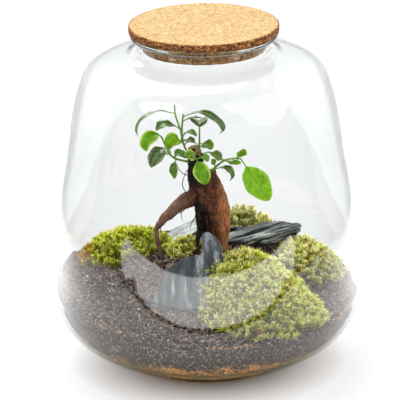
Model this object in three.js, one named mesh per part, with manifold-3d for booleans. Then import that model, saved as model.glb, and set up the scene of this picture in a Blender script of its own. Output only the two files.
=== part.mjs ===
// Planted glass terrarium: a wide blown-glass jar under a cork lid, with sand, potting soil, slates, moss
// cushions and a small ginseng ficus. Millimetres, +Z up; the origin is the middle of the foot, the front
// faces -Y.

import * as THREE from "three";
import { mergeVertices } from "three/addons/utils/BufferGeometryUtils.js";
import Module from "manifold-3d";

const wasm = await Module();
wasm.setup();

// ---- Driving dimensions ----

const HEIGHT = 250; // foot to cork top
const BODY_RADIUS = 110.4; // widest part of the jar
const FOOT_RADIUS = 48;
const FOOT_RING = 8; // width of the flat ring that the jar stands on
const FOOT_RECESS = 1.2; // hollow inside that ring
const WALL = 3;
const FLOOR = 6.5; // top of the thick glass floor
const NECK_RADIUS = 46.3; // outside
const NECK_WALL = 2.8;
const RIM_RADIUS = 52;
const RIM_HEIGHT = 243.6; // foot to rim
const CORK_FLANGE_RADIUS = 52.8;
const CORK_FLANGE = 6; // thickness
const CORK_PLUG_RADIUS = 42.9;
const CORK_PLUG_END = 232.5; // height of the plug's lower face
const SAND_TOP = 24;
const MOUND_TOP = 80; // soil height at the foot of the trunk
const MOUND_X = 4;
const MOUND_Y = 4;
const MOUND_FLAT = 8; // radius of the mound's top
const MOUND_REACH = 100; // radius at which its slope ends
const PLANT_LEAN = 0.0157; // sideways for each millimetre of height, to the right
const STEM_RADIUS = 0.9;
const PETIOLE_RADIUS = 0.55;
const LEAF_THICKNESS = 0.7;
const SLATE_LEDGE = 2.4; // most that one layer of a slate steps back from the next
const TUFT_SPACING = 6.5; // between the tips of neighbouring moss tufts
const TUFT_HEIGHT = 3.6;
const MOSS_FOOT = 30; // height of the cushions' feet, down in the soil
const MOSS_EDGE = 1.16; // reach of the outermost tufts, where 1 is the cushion's outline

const GAP = 0.3; // clearance between neighbouring solids
const AROUND = 40; // facets round the jar
const WELD = 1e-3; // distance at which vertices become one

// Soil height at the glass, by the angle in degrees from +X towards the back.
const SOIL_AT_GLASS = { 0: 54, 45: 60, 90: 58.5, 135: 63.5, 180: 69, 225: 57, 270: 50, 315: 50 };

// ---- Colours and finishes ----

const finish = (color, roughness, extra = {}) =>
  new THREE.MeshStandardMaterial({ color, roughness, metalness: 0, ...extra });

const GLASS = { color: 0xf4f8f7, roughness: 0.04, extra: { transparent: true, opacity: 0.25 } };
const CORK = { color: 0xc49a64, roughness: 0.9 };
const SAND = { color: 0xb98246, roughness: 0.95 };
const SOIL = { color: 0x4a3f39, roughness: 0.97 };
const BARK = { color: 0x7a4526, roughness: 0.75 };
const LEAF = { color: 0x5f9a1c, roughness: 0.4 };
const DARK_SLATE = { color: 0x4a4e51, roughness: 0.7 };
const PALE_SLATE = { color: 0x8c9192, roughness: 0.75 };
const MOSS = { color: 0xa3ab24, roughness: 0.95 };

// ---- Solids ----

function toSolid(geometry) {
  const bare = geometry.clone();
  bare.deleteAttribute("normal");
  bare.deleteAttribute("uv");
  const welded = mergeVertices(bare, WELD);
  const corners = welded.index.array;
  const kept = [];
  for (let i = 0; i < corners.length; i += 3) {
    const [a, b, c] = [corners[i], corners[i + 1], corners[i + 2]];
    if (a !== b && b !== c && c !== a) kept.push(a, b, c);
  }
  const vertProperties = new Float32Array(welded.attributes.position.array);
  return new wasm.Manifold(new wasm.Mesh({ numProp: 3, vertProperties, triVerts: new Uint32Array(kept) }));
}

function toGeometry(solid) {
  const mesh = solid.getMesh();
  const geometry = new THREE.BufferGeometry();
  geometry.setAttribute("position", new THREE.BufferAttribute(mesh.vertProperties, 3));
  geometry.setIndex(new THREE.BufferAttribute(mesh.triVerts, 1));
  geometry.computeVertexNormals();
  return geometry;
}

const union = (solids) => solids.reduce((whole, next) => whole.add(next));

// The biggest body of a solid: scraps that a cut leaves loose are dropped.
function mainBody(solid) {
  const bodies = solid.decompose();
  return bodies.reduce((best, body) => (body.volume() > best.volume() ? body : best));
}

function seeded(seed) {
  let state = seed;
  return () => {
    state = (state * 1664525 + 1013904223) % 4294967296;
    return state / 4294967296;
  };
}

const lerp = THREE.MathUtils.lerp;
const smoothstep = THREE.MathUtils.smoothstep;
const leaning = ([x, y, z]) =>
  new THREE.Vector3(x + (z - MOUND_TOP) * PLANT_LEAN, y, z - x * PLANT_LEAN);

// ---- Round pieces: a profile of (radius, height) points turned about Z ----

function turned(profile) {
  const points = profile.map(([radius, height]) => new THREE.Vector2(radius, height));
  return new THREE.LatheGeometry(points, AROUND).rotateX(Math.PI / 2);
}

// The outside of the jar from the foot to the shoulder.
const BODY_CURVE = new THREE.SplineCurve(
  [
    [FOOT_RADIUS, 0],
    [68.6, 8.2],
    [92, 21.9],
    [104, 35.8],
    [109.6, 52],
    [BODY_RADIUS, 64],
    [109.1, 90],
    [107, 122],
    [101, 155.2],
    [95.4, 186],
    [89.8, 206.2],
    [82.6, 219.5],
    [69, 227],
    [NECK_RADIUS + 5, 230.6],
  ].map(([radius, height]) => new THREE.Vector2(radius, height)),
);
const BODY_STEPS = 12;

function bodyProfile(inset) {
  const profile = [];
  for (let i = 0; i <= BODY_STEPS; i += 1) {
    const point = BODY_CURVE.getPoint(i / BODY_STEPS);
    const along = BODY_CURVE.getTangent(i / BODY_STEPS);
    profile.push([point.x - along.y * inset, point.y + along.x * inset]);
  }
  return profile;
}

const neckProfile = (inset) => [
  [NECK_RADIUS - inset, 233 - inset / 2],
  [NECK_RADIUS - inset, 238.5],
];

// The inside wall, from the floor up.
const INNER_WALL = bodyProfile(WALL).filter(([, height]) => height > FLOOR + 1);
const FLOOR_RADIUS = INNER_WALL[0][0] - 6;

function glassJar() {
  const rim = [
    [RIM_RADIUS - 1.2, RIM_HEIGHT - 2.6],
    [RIM_RADIUS, RIM_HEIGHT - 1],
    [RIM_RADIUS - 1, RIM_HEIGHT],
    [RIM_RADIUS - 4, RIM_HEIGHT],
    [NECK_RADIUS - NECK_WALL + 1, RIM_HEIGHT - 2.2],
  ];
  return turned([
    [0, FOOT_RECESS],
    [FOOT_RADIUS - FOOT_RING - 1, FOOT_RECESS],
    [FOOT_RADIUS - FOOT_RING, 0],
    ...bodyProfile(0),
    ...neckProfile(0),
    ...rim,
    ...neckProfile(NECK_WALL).reverse(),
    ...[...INNER_WALL].reverse(),
    [FLOOR_RADIUS, FLOOR],
    [0, FLOOR],
  ]);
}

function corkLid() {
  const flangeFoot = HEIGHT - CORK_FLANGE;
  const chamfer = 0.8;
  return turned([
    [0, CORK_PLUG_END],
    [CORK_PLUG_RADIUS - chamfer * 2, CORK_PLUG_END],
    [CORK_PLUG_RADIUS - chamfer, CORK_PLUG_END + chamfer],
    [CORK_PLUG_RADIUS, flangeFoot],
    [CORK_FLANGE_RADIUS - chamfer, flangeFoot],
    [CORK_FLANGE_RADIUS, flangeFoot + chamfer],
    [CORK_FLANGE_RADIUS, HEIGHT - chamfer],
    [CORK_FLANGE_RADIUS - chamfer, HEIGHT],
    [0, HEIGHT],
  ]);
}

// The room inside the glass, a gap away from it.
function insideOfJar() {
  const wall = INNER_WALL.map(([radius, height]) => [radius - GAP, height]);
  const top = wall.at(-1)[1];
  return toSolid(turned([[0, FLOOR + GAP], [FLOOR_RADIUS - GAP, FLOOR + GAP], ...wall, [0, top]]));
}

const JAR_ROOM = insideOfJar();

// ---- Sand and soil ----

function soilAtGlass(angle) {
  const step = 45;
  const degrees = (THREE.MathUtils.radToDeg(angle) + 360) % 360;
  const low = Math.floor(degrees / step) * step;
  const high = (low + step) % 360;
  return lerp(SOIL_AT_GLASS[low], SOIL_AT_GLASS[high], smoothstep(degrees, low, low + step));
}

// Small lumps that no two places share.
const lumps = (x, y) =>
  0.7 * Math.sin(x * 0.31 + 1.3 * Math.sin(y * 0.17)) + 0.6 * Math.sin(y * 0.37 + 1.1 * Math.sin(x * 0.23));

function soilHeight(x, y) {
  const edge = soilAtGlass(Math.atan2(y, x));
  const fromMound = Math.hypot(x - MOUND_X, y - MOUND_Y);
  const slope = 1 - smoothstep(fromMound, MOUND_FLAT, MOUND_REACH);
  return lerp(edge, MOUND_TOP, slope) + lumps(x, y);
}

const sandHeight = (x, y) => SAND_TOP + 0.8 * Math.sin(x * 0.06 + 0.5) * Math.sin(y * 0.05);

// A round bed from a flat foot up to a surface given by a function of the place.
function bed(foot, surface, rings) {
  const radius = BODY_RADIUS;
  const profile = [[0, foot], [radius, foot]];
  for (let i = rings; i >= 0; i -= 1) profile.push([(radius * i) / rings, foot + 1]);
  const geometry = turned(profile);
  const place = geometry.attributes.position;
  for (let i = 0; i < place.count; i += 1) {
    if (place.getZ(i) > foot + 0.5) place.setZ(i, surface(place.getX(i), place.getY(i)));
  }
  return toSolid(geometry);
}

const SAND_RINGS = 3;
const SOIL_RINGS = 7;
const raised = (surface, rise) => (x, y) => surface(x, y) + rise;

const SAND_SOLID = bed(0, sandHeight, SAND_RINGS).intersect(JAR_ROOM);
const SOIL_SOLID = bed(0, soilHeight, SOIL_RINGS)
  .intersect(JAR_ROOM)
  .subtract(bed(-1, raised(sandHeight, GAP), SAND_RINGS));
const UP_TO_SOIL = bed(-1, raised(soilHeight, GAP), SOIL_RINGS);

// ---- Limbs: round tapering tubes along a smooth curve ----

// A limb follows its points [x, y, z, radius]. Its surface can be ridged by a number of flutes.
function limb(points, { sides = 6, steps = 6, grow = 0, flutes = 0, depth = 0 } = {}) {
  const curve = new THREE.CatmullRomCurve3(points.map(leaning));
  const radii = points.map((point) => point[3] + grow);
  const frames = curve.computeFrenetFrames(steps, false);
  const geometry = new THREE.CylinderGeometry(1, 1, 1, sides, steps);
  const place = geometry.attributes.position;
  for (let i = 0; i < place.count; i += 1) {
    const local = new THREE.Vector3().fromBufferAttribute(place, i);
    const step = Math.round((local.y + 0.5) * steps);
    const along = curve.getUtoTmapping(step / steps) * (radii.length - 1);
    const before = Math.min(Math.floor(along), radii.length - 2);
    const angle = Math.atan2(local.z, local.x);
    const ridge = 1 + depth * Math.sin(angle * flutes + step * 0.35);
    const radius = lerp(radii[before], radii[before + 1], along - before) * ridge;
    const spot = curve.getPointAt(step / steps);
    spot.addScaledVector(frames.normals[step], local.x * radius);
    spot.addScaledVector(frames.binormals[step], -local.z * radius);
    if (step === 0) spot.addScaledVector(frames.tangents[0], -grow);
    if (step === steps) spot.addScaledVector(frames.tangents[steps], grow);
    place.setXYZ(i, spot.x, spot.y, spot.z);
  }
  return toSolid(geometry);
}

// ---- The ficus: woody part ----

const WOOD = {
  stump: {
    points: [
      [-3, 5, 118, 8.5],
      [-6, 5, 127, 6.9],
      [-7.8, 5, 134, 5.7],
      [-8.4, 5, 143, 5.3],
      [-8.4, 5.2, 150, 5.2],
      [-9.6, 5.4, 158, 3.2],
    ],
    sides: 9,
    steps: 8,
  },
  rightLeg: {
    points: [
      [3.6, 4, 141.5, 2.2],
      [3, 4.6, 135, 5.8],
      [2.6, 5, 128, 8.8],
      [4.6, 5.6, 119, 9.8],
      [7, 6.2, 110, 9.3],
      [8.2, 6.8, 100, 8.5],
      [8.6, 7, 91, 7.3],
      [8.8, 7, 82, 5.9],
      [8.8, 7, 72, 4.9],
      [9.2, 7.4, 62, 3.2],
    ],
    sides: 12,
    steps: 13,
    flutes: 3,
    depth: 0.06,
  },
  leftLeg: {
    points: [
      [-1.5, 4, 124, 6],
      [-4.4, 3.4, 114, 4.8],
      [-5.8, 2.6, 105, 3.7],
      [-6, 1.8, 96, 3.1],
      [-6.8, 1, 87, 2.9],
      [-8, 0.4, 78, 2.6],
      [-9.4, 0, 66, 1.8],
    ],
    sides: 8,
    steps: 9,
  },
  arm: {
    points: [
      [-2, 5, 122, 6.6],
      [-9.6, 4, 120.6, 6.2],
      [-15.4, 2, 118.8, 5.3],
      [-20.4, 0, 115.8, 4.6],
      [-25, -2, 112, 3.9],
      [-29.4, -3, 108.6, 3.3],
      [-33.2, -4, 104.2, 2.8],
      [-35.8, -4, 99, 2.3],
      [-35.8, -4, 93, 1.9],
      [-34.2, -3, 86, 1.6],
      [-32.4, -2, 78, 1.4],
      [-31.4, -1, 68, 1.2],
    ],
    sides: 8,
    steps: 15,
  },
  backLeg: {
    points: [
      [1, 8, 124, 6],
      [0.4, 14, 112, 5.2],
      [-1, 18, 100, 4],
      [-2, 20.5, 88, 3.2],
      [-2.6, 22, 76, 2.6],
      [-3, 23, 66, 1.8],
    ],
    sides: 8,
    steps: 8,
  },
};

const woodyPart = (grow) =>
  union(Object.values(WOOD).map(({ points, ...form }) => limb(points, { ...form, grow })));

// ---- The ficus: leafy shoots ----

const LEAF_STEPS = 5;
const LEAF_ROWS = 2;

// Half width of a leaf along its length, from 0 at the petiole to 1 at the tip. The fuller it is, the nearer
// to the tip it is broadest.
const leafOutline = (t, fullness) => Math.sin(Math.PI * Math.min(t, 0.985) ** fullness) ** 0.72;

// A thin arched blade along the points of its midrib, folded up a little on both sides of it. It bends about
// one axis, which is square to the midrib's middle.
function blade(midrib, halfWidth, facing, fold, fullness) {
  const axis = midrib.getTangent(0.5).cross(facing).normalize();
  const top = new THREE.PlaneGeometry(1, 1, LEAF_ROWS, LEAF_STEPS);
  const place = top.attributes.position;
  const count = place.count;
  const spots = [];
  for (let i = 0; i < count; i += 1) {
    const t = 0.5 + place.getY(i);
    const across = place.getX(i) * 2;
    const along = midrib.getTangent(t);
    const side = axis.clone().addScaledVector(along, -axis.dot(along)).normalize();
    const up = side.clone().cross(along).normalize();
    const width = PETIOLE_RADIUS * 0.8 + halfWidth * leafOutline(t, fullness);
    const spot = midrib.getPoint(t).addScaledVector(side, across * width);
    spot.addScaledVector(up, fold * Math.abs(across) * width);
    spots.push([spot, spot.clone().addScaledVector(up, -LEAF_THICKNESS)]);
  }
  const faces = [];
  const grid = top.index.array;
  for (let i = 0; i < grid.length; i += 3) {
    const [a, b, c] = [grid[i], grid[i + 1], grid[i + 2]];
    faces.push(a, b, c, a + count, c + count, b + count);
  }
  const wide = LEAF_ROWS + 1;
  const edge = [];
  for (let i = 0; i < LEAF_ROWS; i += 1) edge.push(i);
  for (let j = 0; j < LEAF_STEPS; j += 1) edge.push(j * wide + LEAF_ROWS);
  for (let i = LEAF_ROWS; i > 0; i -= 1) edge.push(LEAF_STEPS * wide + i);
  for (let j = LEAF_STEPS; j > 0; j -= 1) edge.push(j * wide);
  edge.forEach((a, i) => {
    const b = edge[(i + 1) % edge.length];
    faces.push(a, b, b + count, a, b + count, a + count);
  });
  const geometry = new THREE.BufferGeometry();
  geometry.setFromPoints([...spots.map(([upper]) => upper), ...spots.map(([, lower]) => lower)]);
  geometry.setIndex(faces);
  return toSolid(geometry);
}

// A leaf runs from its stem along a petiole to the blade's foot, its middle and its tip. It faces the given
// way, folds up along its midrib and is broadest nearer to its tip the fuller it is.
function leaf({ path, width, facing = [0, 0, 1], fold = 0.2, fullness = 1.15 }) {
  const midrib = new THREE.CatmullRomCurve3(path.slice(1).map(leaning));
  const underside = path.slice(0, 3).map((point, i) => [...point, PETIOLE_RADIUS * (i < 2 ? 1 : 0.6)]);
  const petiole = limb(underside, { sides: 4, steps: 3 });
  return blade(midrib, width / 2, new THREE.Vector3(...facing), fold, fullness).add(petiole);
}

const SHOOTS = {
  // The tall one on the left, forked, bare at its two tops.
  a: {
    stems: [
      [
        [-9, 5.6, 147.5], [-11.5, 6, 150], [-15, 6, 155.5], [-17.5, 5, 162.5], [-18.5, 4, 169],
        [-20.5, 2.5, 176], [-22.5, 1, 183], [-23, 0.5, 192],
      ],
      [[-17.4, 5, 162], [-18, 7, 168.5], [-17.5, 8, 175.5], [-17, 8, 181.5]],
    ],
    leaves: [
      {
        path: [
          [-22.5, 1, 184], [-26.5, -1, 185.5], [-32, -3, 187.5], [-40, -6, 186], [-47, -9, 181.5],
          [-49.5, -10, 176], [-48.5, -11, 171],
        ],
        width: 6,
        facing: [0, 0.1, 1],
      },
      {
        path: [[-19.5, 3, 172], [-22, 2, 174], [-27, 1, 176], [-32, 0, 176], [-36, -1, 172]],
        width: 10,
        facing: [0, -0.3, 0.95],
        fullness: 1.5,
      },
      {
        path: [
          [-17, 8, 179], [-13.5, 6, 181.5], [-9.5, 4, 183.5], [-3, 1, 185], [4, -2, 182],
          [9, -4, 178], [10.5, -5, 174], [8.5, -6, 171],
        ],
        width: 8.5,
        facing: [0, -0.15, 1],
      },
      {
        path: [[-17.5, 8, 176], [-14.5, 9, 177], [-11.5, 11, 177.5], [-8, 12.5, 177.2], [-4, 14, 176.4]],
        width: 8,
        facing: [0, 0.33, 0.94],
      },
      {
        path: [[-17.5, 6, 165], [-16, 3, 168], [-14.5, 0, 170.5], [-11, -3, 171.5], [-7.5, -5, 169]],
        width: 6.5,
        facing: [0, -0.2, 1],
      },
      {
        path: [[-16, 5.5, 159], [-15, 3, 162], [-13.5, 1, 164], [-11.5, 0, 164.5], [-9, -2, 163.5]],
        width: 6.5,
        facing: [0.1, -0.45, 0.9],
      },
      {
        path: [
          [-17, 5, 161], [-19.5, 3, 163], [-21, 1, 165], [-24, -1, 165.5], [-26.5, -2.5, 163],
          [-27.5, -3, 158],
        ],
        width: 10.5,
        facing: [0.2, -0.8, 0.6],
      },
    ],
  },
  // The upright one in the middle, with a cupped leaf on top.
  b: {
    stems: [[[-7.2, 7.6, 147.5], [-6.5, 11, 153], [-5.5, 11.5, 158], [-5.5, 11, 164], [-5.5, 10.5, 170]]],
    leaves: [
      {
        path: [[-5.5, 10.5, 169.5], [-5.5, 11, 170.5], [-5.5, 13, 172.5], [-6, 18, 173], [-6, 24, 171.5]],
        width: 13,
        fold: 0.35,
      },
      {
        path: [[-5.5, 11.5, 155.5], [-4.5, 8, 157.5], [-2, 6, 159.5], [1, 4, 159.5], [4, 2, 158]],
        width: 9.5,
        facing: [0.1, -0.5, 0.85],
      },
      {
        path: [[-6, 12, 155.5], [-8, 16, 157], [-12.5, 20, 157.5], [-16.5, 24, 156.5], [-21, 27, 152]],
        width: 9,
        facing: [0, 0.3, 1],
      },
      {
        path: [[-6, 12, 154], [-3, 20, 154.5], [-0.5, 26, 152], [2.5, 31, 147]],
        width: 9.5,
        facing: [0.2, 0.3, 1],
      },
    ],
  },
  // The one to the left, low, with hanging leaves.
  c: {
    stems: [
      [
        [-9.5, 4.5, 146.5], [-12.5, 4, 147.2], [-18, -1, 150], [-23, -5, 153], [-26.5, -7.5, 157],
        [-29, -9, 162.5], [-31, -10, 167.5], [-32.5, -10.5, 171],
      ],
    ],
    leaves: [
      {
        path: [
          [-31, -10, 168.5], [-32.5, -10.5, 171], [-36, -12, 172.5], [-40, -15, 171.5],
          [-43, -18, 168], [-42.5, -20, 163],
        ],
        width: 11,
        facing: [-0.2, -0.75, 0.6],
      },
      {
        path: [
          [-29, -9, 162.5], [-30, -11, 162.5], [-33, -14, 161.5], [-36.5, -18, 157.5],
          [-39.5, -21, 151.5],
        ],
        width: 12,
        facing: [-0.3, -0.8, 0.5],
      },
      {
        path: [
          [-22, -5, 152.5], [-22.5, -7, 151], [-23.5, -8.5, 148.5], [-23.5, -10, 144.5],
          [-23, -10.5, 139.5],
        ],
        width: 7,
        facing: [-0.5, -0.85, 0.1],
      },
      {
        path: [[-24.5, -6, 154.5], [-26, -1, 154], [-29.5, 3, 154], [-33.5, 8, 151]],
        width: 9,
        facing: [-0.3, 0.3, 1],
      },
    ],
  },
  // The one to the right, with the big round leaf at its end.
  d: {
    stems: [
      [
        [2.5, 4, 138], [5, 1, 143.5], [8, -2.5, 147.5], [11.5, -5, 151], [16, -7, 153],
        [20, -8, 154], [23.5, -8.5, 153.5],
      ],
    ],
    leaves: [
      {
        path: [
          [23.5, -8.5, 153.5], [27, -10, 148.5], [30, -11, 143.5], [35.5, -13.5, 136.5],
          [43, -17, 127],
        ],
        width: 17,
        facing: [0.35, -0.85, 0.35],
        fold: 0.12,
        fullness: 1.4,
      },
      {
        path: [[10.5, -4.5, 150.5], [10.5, -5, 151.5], [9, -6, 154], [6.5, -8, 156.5], [3, -10, 157.5]],
        width: 7,
        facing: [0.5, -0.6, 0.5],
      },
      {
        path: [[6, -0.5, 145], [5, -3, 147.5], [4.5, -5, 150], [3, -7, 153]],
        width: 4.5,
        facing: [0.2, -0.9, 0.3],
      },
      {
        path: [[20, -8, 154], [21, -9, 155], [23, -10.5, 157.5], [24.5, -12, 160], [26, -13, 162.5]],
        width: 8,
        facing: [0.4, -0.9, 0.1],
      },
      {
        path: [[21, -8, 154], [21, -9.5, 153], [20.5, -11.5, 152.5], [19.5, -14, 151]],
        width: 6.5,
        facing: [0, -0.8, 0.6],
      },
      {
        path: [
          [4.6, 1.6, 142.8], [7.2, 2.4, 142.9], [10, 2, 143.6], [14, 1, 143.5], [16.5, 0, 141.5],
          [17.5, -1, 138.5], [16, -2, 135],
        ],
        width: 6.5,
        facing: [0.5, -0.5, 0.7],
      },
      {
        path: [[12.5, -5.5, 151.5], [13.5, -3, 150], [15, 4, 147.5], [17.5, 10, 143]],
        width: 8.5,
        facing: [0.2, 0.3, 1],
      },
    ],
  },
  // Short growth round the front of the stump, with the bright hanging leaf.
  e: {
    stems: [[[-7.5, 4.5, 147], [-7.5, 0.5, 150.5], [-7.5, -3.5, 152]]],
    leaves: [
      {
        path: [[-7.5, -3.5, 152], [-7, -7, 151], [-5.5, -10, 148], [-3, -12, 142.5], [-1, -11.5, 135.5]],
        width: 12,
        facing: [-0.1, -1, 0.25],
      },
      {
        path: [
          [-7.5, -2.5, 151.6], [-12.5, -7, 153.5], [-16.5, -10, 157], [-20.5, -12, 159],
          [-23, -13, 156.5],
        ],
        width: 7,
        facing: [-0.1, -0.6, 0.8],
      },
      {
        path: [[-7.5, -2.5, 151.6], [-8.5, -5, 153], [-10, -7, 155], [-13, -9, 156.5], [-16, -11, 155.5]],
        width: 8,
        facing: [0.2, -0.8, 0.6],
      },
      {
        path: [[-7.5, -3, 151.8], [-4.5, -7, 154], [-2.5, -8.5, 155.5], [-1, -9.5, 154.5], [0.5, -10.5, 152]],
        width: 6,
        facing: [0.3, -0.7, 0.7],
      },
    ],
  },
  // Short growth behind the stump.
  f: {
    stems: [[[-7, 8.2, 145], [-4, 13, 148.4], [-3, 16.4, 149]]],
    leaves: [
      {
        path: [[-3.2, 15.6, 148.9], [-5, 20, 149.6], [-8.6, 26, 147.6], [-12, 31, 140.6]],
        width: 10.5,
        facing: [-0.2, 0.6, 0.8],
      },
      {
        path: [[-3.2, 15.8, 149], [0.4, 18.6, 149.4], [5, 23, 147], [8, 27, 140]],
        width: 9.5,
        facing: [0.3, 0.6, 0.8],
      },
    ],
  },
};

const STEM_TAPER = 0.35;

function stemSolids({ stems }, grow = 0) {
  return stems.map((stem) => {
    const last = stem.length - 1;
    const points = stem.map((point, i) => [...point, STEM_RADIUS * (1 - (STEM_TAPER * i) / last)]);
    return limb(points, { sides: 5, steps: stem.length + 2, grow });
  });
}

const shootSolid = (shoot) => union([...stemSolids(shoot), ...shoot.leaves.map(leaf)]);

// ---- Slates ----

// A split slab: layers of stone on each other, each with its own broken edge, turned and set in place.
function slab({ outline, layers, thickness, turn, place, seed }, grow = 0) {
  const random = seeded(seed);
  const sheet = thickness / layers;
  const depth = sheet + GAP / 2 + grow * 2;
  const corners = outline.map(([x, y]) => new THREE.Vector2(x, y));
  const centre = new THREE.Box2().setFromPoints(corners).getCenter(new THREE.Vector2());
  const solids = [];
  for (let i = 0; i < layers; i += 1) {
    const ledge = SLATE_LEDGE * random() + (i === 1 ? 0 : 1);
    const broken = corners.map((corner) => {
      const out = corner.clone().sub(centre);
      const reach = out.length() - ledge * (0.5 + random()) + grow * 1.5;
      return out.setLength(reach).add(centre);
    });
    const geometry = new THREE.ExtrudeGeometry(new THREE.Shape(broken), { depth, bevelEnabled: false });
    solids.push(toSolid(geometry.translate(0, 0, i * sheet - grow)));
  }
  const [x, y, z] = turn.map(THREE.MathUtils.degToRad);
  const matrix = new THREE.Matrix4().makeRotationFromEuler(new THREE.Euler(x, y, z, "ZYX"));
  matrix.setPosition(...place);
  return union(solids).transform(matrix.elements);
}

const SLATES = {
  // Leaning back on the slope in front of the trunk: outline in its own plane, x across and y up the slab.
  slate_front: {
    outline: [
      [-41, 2], [-22, -4], [4, -6], [13, 0], [13, 22], [12, 40], [10, 50], [4, 58], [-1, 62],
      [-4, 58], [-3, 50], [-6, 43], [-16, 41], [-28, 32],
    ],
    layers: 3,
    thickness: 8,
    turn: [38, 0, 0],
    place: [0, -56, 58],
    seed: 11,
  },
  // Lying behind the trunk, rising to the right.
  slate_right: {
    outline: [
      [-8, -12], [20, -13], [48, -12], [60, -8], [64, -2], [62, 5], [52, 10], [30, 12], [4, 11],
      [-8, 6],
    ],
    layers: 4,
    thickness: 11,
    turn: [8, -8, 4],
    place: [8, 30, 72.6],
    seed: 5,
  },
  // Paler, behind the root arch.
  slate_back_left: {
    outline: [[-24, -8], [-6, -11], [14, -9], [20, 0], [16, 9], [-4, 10], [-20, 6]],
    layers: 3,
    thickness: 9,
    turn: [14, -26, 8],
    place: [-16, 42, 74],
    seed: 8,
  },
};

// ---- Moss ----

// A cushion on the soil, its surface a close set of pointed tufts. reach is 1 on its outline.
function mossReach({ place, size, turn, waves }, x, y) {
  const dx = x - place[0];
  const dy = y - place[1];
  const u = (dx * Math.cos(turn) + dy * Math.sin(turn)) / size[0];
  const v = (dy * Math.cos(turn) - dx * Math.sin(turn)) / size[1];
  const angle = Math.atan2(v, u);
  return Math.hypot(u, v) / (1 + 0.1 * Math.sin(2 * angle + waves) + 0.07 * Math.sin(3 * angle + 2 * waves));
}

function mossHeight(moss, x, y) {
  const crown = moss.thickness * (1 - mossReach(moss, x, y) ** 2.6);
  const waves = 0.8 * Math.sin(x * 0.35) * Math.sin(y * 0.3);
  return soilHeight(x, y) + crown + waves;
}

function mossNormal(moss, x, y) {
  const d = 0.5;
  const slopeX = (mossHeight(moss, x + d, y) - mossHeight(moss, x - d, y)) / (2 * d);
  const slopeY = (mossHeight(moss, x, y + d) - mossHeight(moss, x, y - d)) / (2 * d);
  return new THREE.Vector3(-slopeX, -slopeY, 1).normalize();
}

// Six-sided tufts side by side in rows, closed below by a flat foot that lies under the soil's surface.
function cushion(moss) {
  const random = seeded(moss.seed);
  const cell = TUFT_SPACING / Math.sqrt(3); // centre to corner of a tuft
  const rowStep = cell * 1.5;
  const sway = TUFT_SPACING * 0.3;
  const onMoss = (x, y) => new THREE.Vector3(x, y, mossHeight(moss, x, y));
  const below = (v) => new THREE.Vector3(v.x, v.y, MOSS_FOOT);
  const key = (v) => `${v.x.toFixed(2)},${v.y.toFixed(2)}`;
  const spots = [];
  const edges = new Map();
  const span = Math.max(...moss.size) * 1.6;
  const rows = Math.ceil(span / rowStep);
  const columns = Math.ceil(span / TUFT_SPACING);
  for (let row = -rows; row <= rows; row += 1) {
    for (let column = -columns; column <= columns; column += 1) {
      const x = moss.place[0] + (column + (Math.abs(row) % 2) / 2) * TUFT_SPACING;
      const y = moss.place[1] + row * rowStep;
      if (mossReach(moss, x, y) > MOSS_EDGE) continue;
      const centre = onMoss(x, y);
      const height = TUFT_HEIGHT * (0.55 + 0.9 * random());
      const tip = centre.clone().addScaledVector(mossNormal(moss, x, y), height);
      tip.x += (random() - 0.5) * sway;
      tip.y += (random() - 0.5) * sway;
      for (let k = 0; k < 6; k += 1) {
        const [from, to] = [k, k + 1].map((corner) => {
          const angle = ((corner % 6) / 6) * Math.PI * 2 + Math.PI / 6;
          return onMoss(x + cell * Math.cos(angle), y + cell * Math.sin(angle));
        });
        spots.push(tip, from, to, below(centre), below(to), below(from));
        const twin = `${key(to)}>${key(from)}`;
        if (!edges.delete(twin)) edges.set(`${key(from)}>${key(to)}`, [from, to]);
      }
    }
  }
  edges.forEach(([from, to]) => {
    spots.push(to, from, below(from), to, below(from), below(to));
  });
  return toSolid(new THREE.BufferGeometry().setFromPoints(spots));
}

const MOSSES = {
  moss_left: { place: [-60, 32], size: [29, 34], turn: 0.1, thickness: 15, waves: 1.2, seed: 21 },
  moss_centre: { place: [-16, 7], size: [12, 11], turn: 0.2, thickness: 7, waves: 0.4, seed: 22 },
  moss_front_right: { place: [37, -50], size: [37, 46], turn: 0.4, thickness: 19, waves: 2.1, seed: 23 },
  moss_right: { place: [74, 18], size: [21, 27], turn: 0.2, thickness: 16, waves: 0.9, seed: 24 },
  moss_back: { place: [28, 58], size: [24, 15], turn: 0.1, thickness: 21, waves: 1.7, seed: 25 },
};

// ---- The assembly ----

const terrarium = new THREE.Group();

function addPiece(name, geometry, { color, roughness, extra }) {
  const mesh = new THREE.Mesh(geometry, finish(color, roughness, extra));
  mesh.name = name;
  terrarium.add(mesh);
}

const grownWood = woodyPart(GAP);
const slates = Object.entries(SLATES).map(([name, slate]) => [name, slab(slate)]);
const grownSlates = union(Object.values(SLATES).map((slate) => slab(slate, GAP)));

addPiece("glass_jar", glassJar(), GLASS);
addPiece("cork_lid", corkLid(), CORK);
addPiece("drainage_sand", toGeometry(SAND_SOLID), SAND);
addPiece("potting_soil", toGeometry(mainBody(SOIL_SOLID.subtract(grownWood).subtract(grownSlates))), SOIL);

let wood = woodyPart(0);
Object.values(SHOOTS).forEach((shoot) => {
  wood = wood.subtract(union(stemSolids(shoot, GAP)));
});
addPiece("ficus_trunk", toGeometry(mainBody(wood)), BARK);

Object.entries(SHOOTS).forEach(([letter, shoot]) => {
  addPiece(`ficus_shoot_${letter}`, toGeometry(shootSolid(shoot)), LEAF);
});

slates.forEach(([name, solid]) => {
  const look = name === "slate_back_left" ? PALE_SLATE : DARK_SLATE;
  addPiece(name, toGeometry(mainBody(solid.subtract(grownWood))), look);
});

const mossPlace = JAR_ROOM.subtract(UP_TO_SOIL).subtract(grownWood).subtract(grownSlates);
Object.entries(MOSSES).forEach(([name, moss]) => {
  addPiece(name, toGeometry(mainBody(cushion(moss).intersect(mossPlace))), MOSS);
});

export default terrarium;
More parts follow.
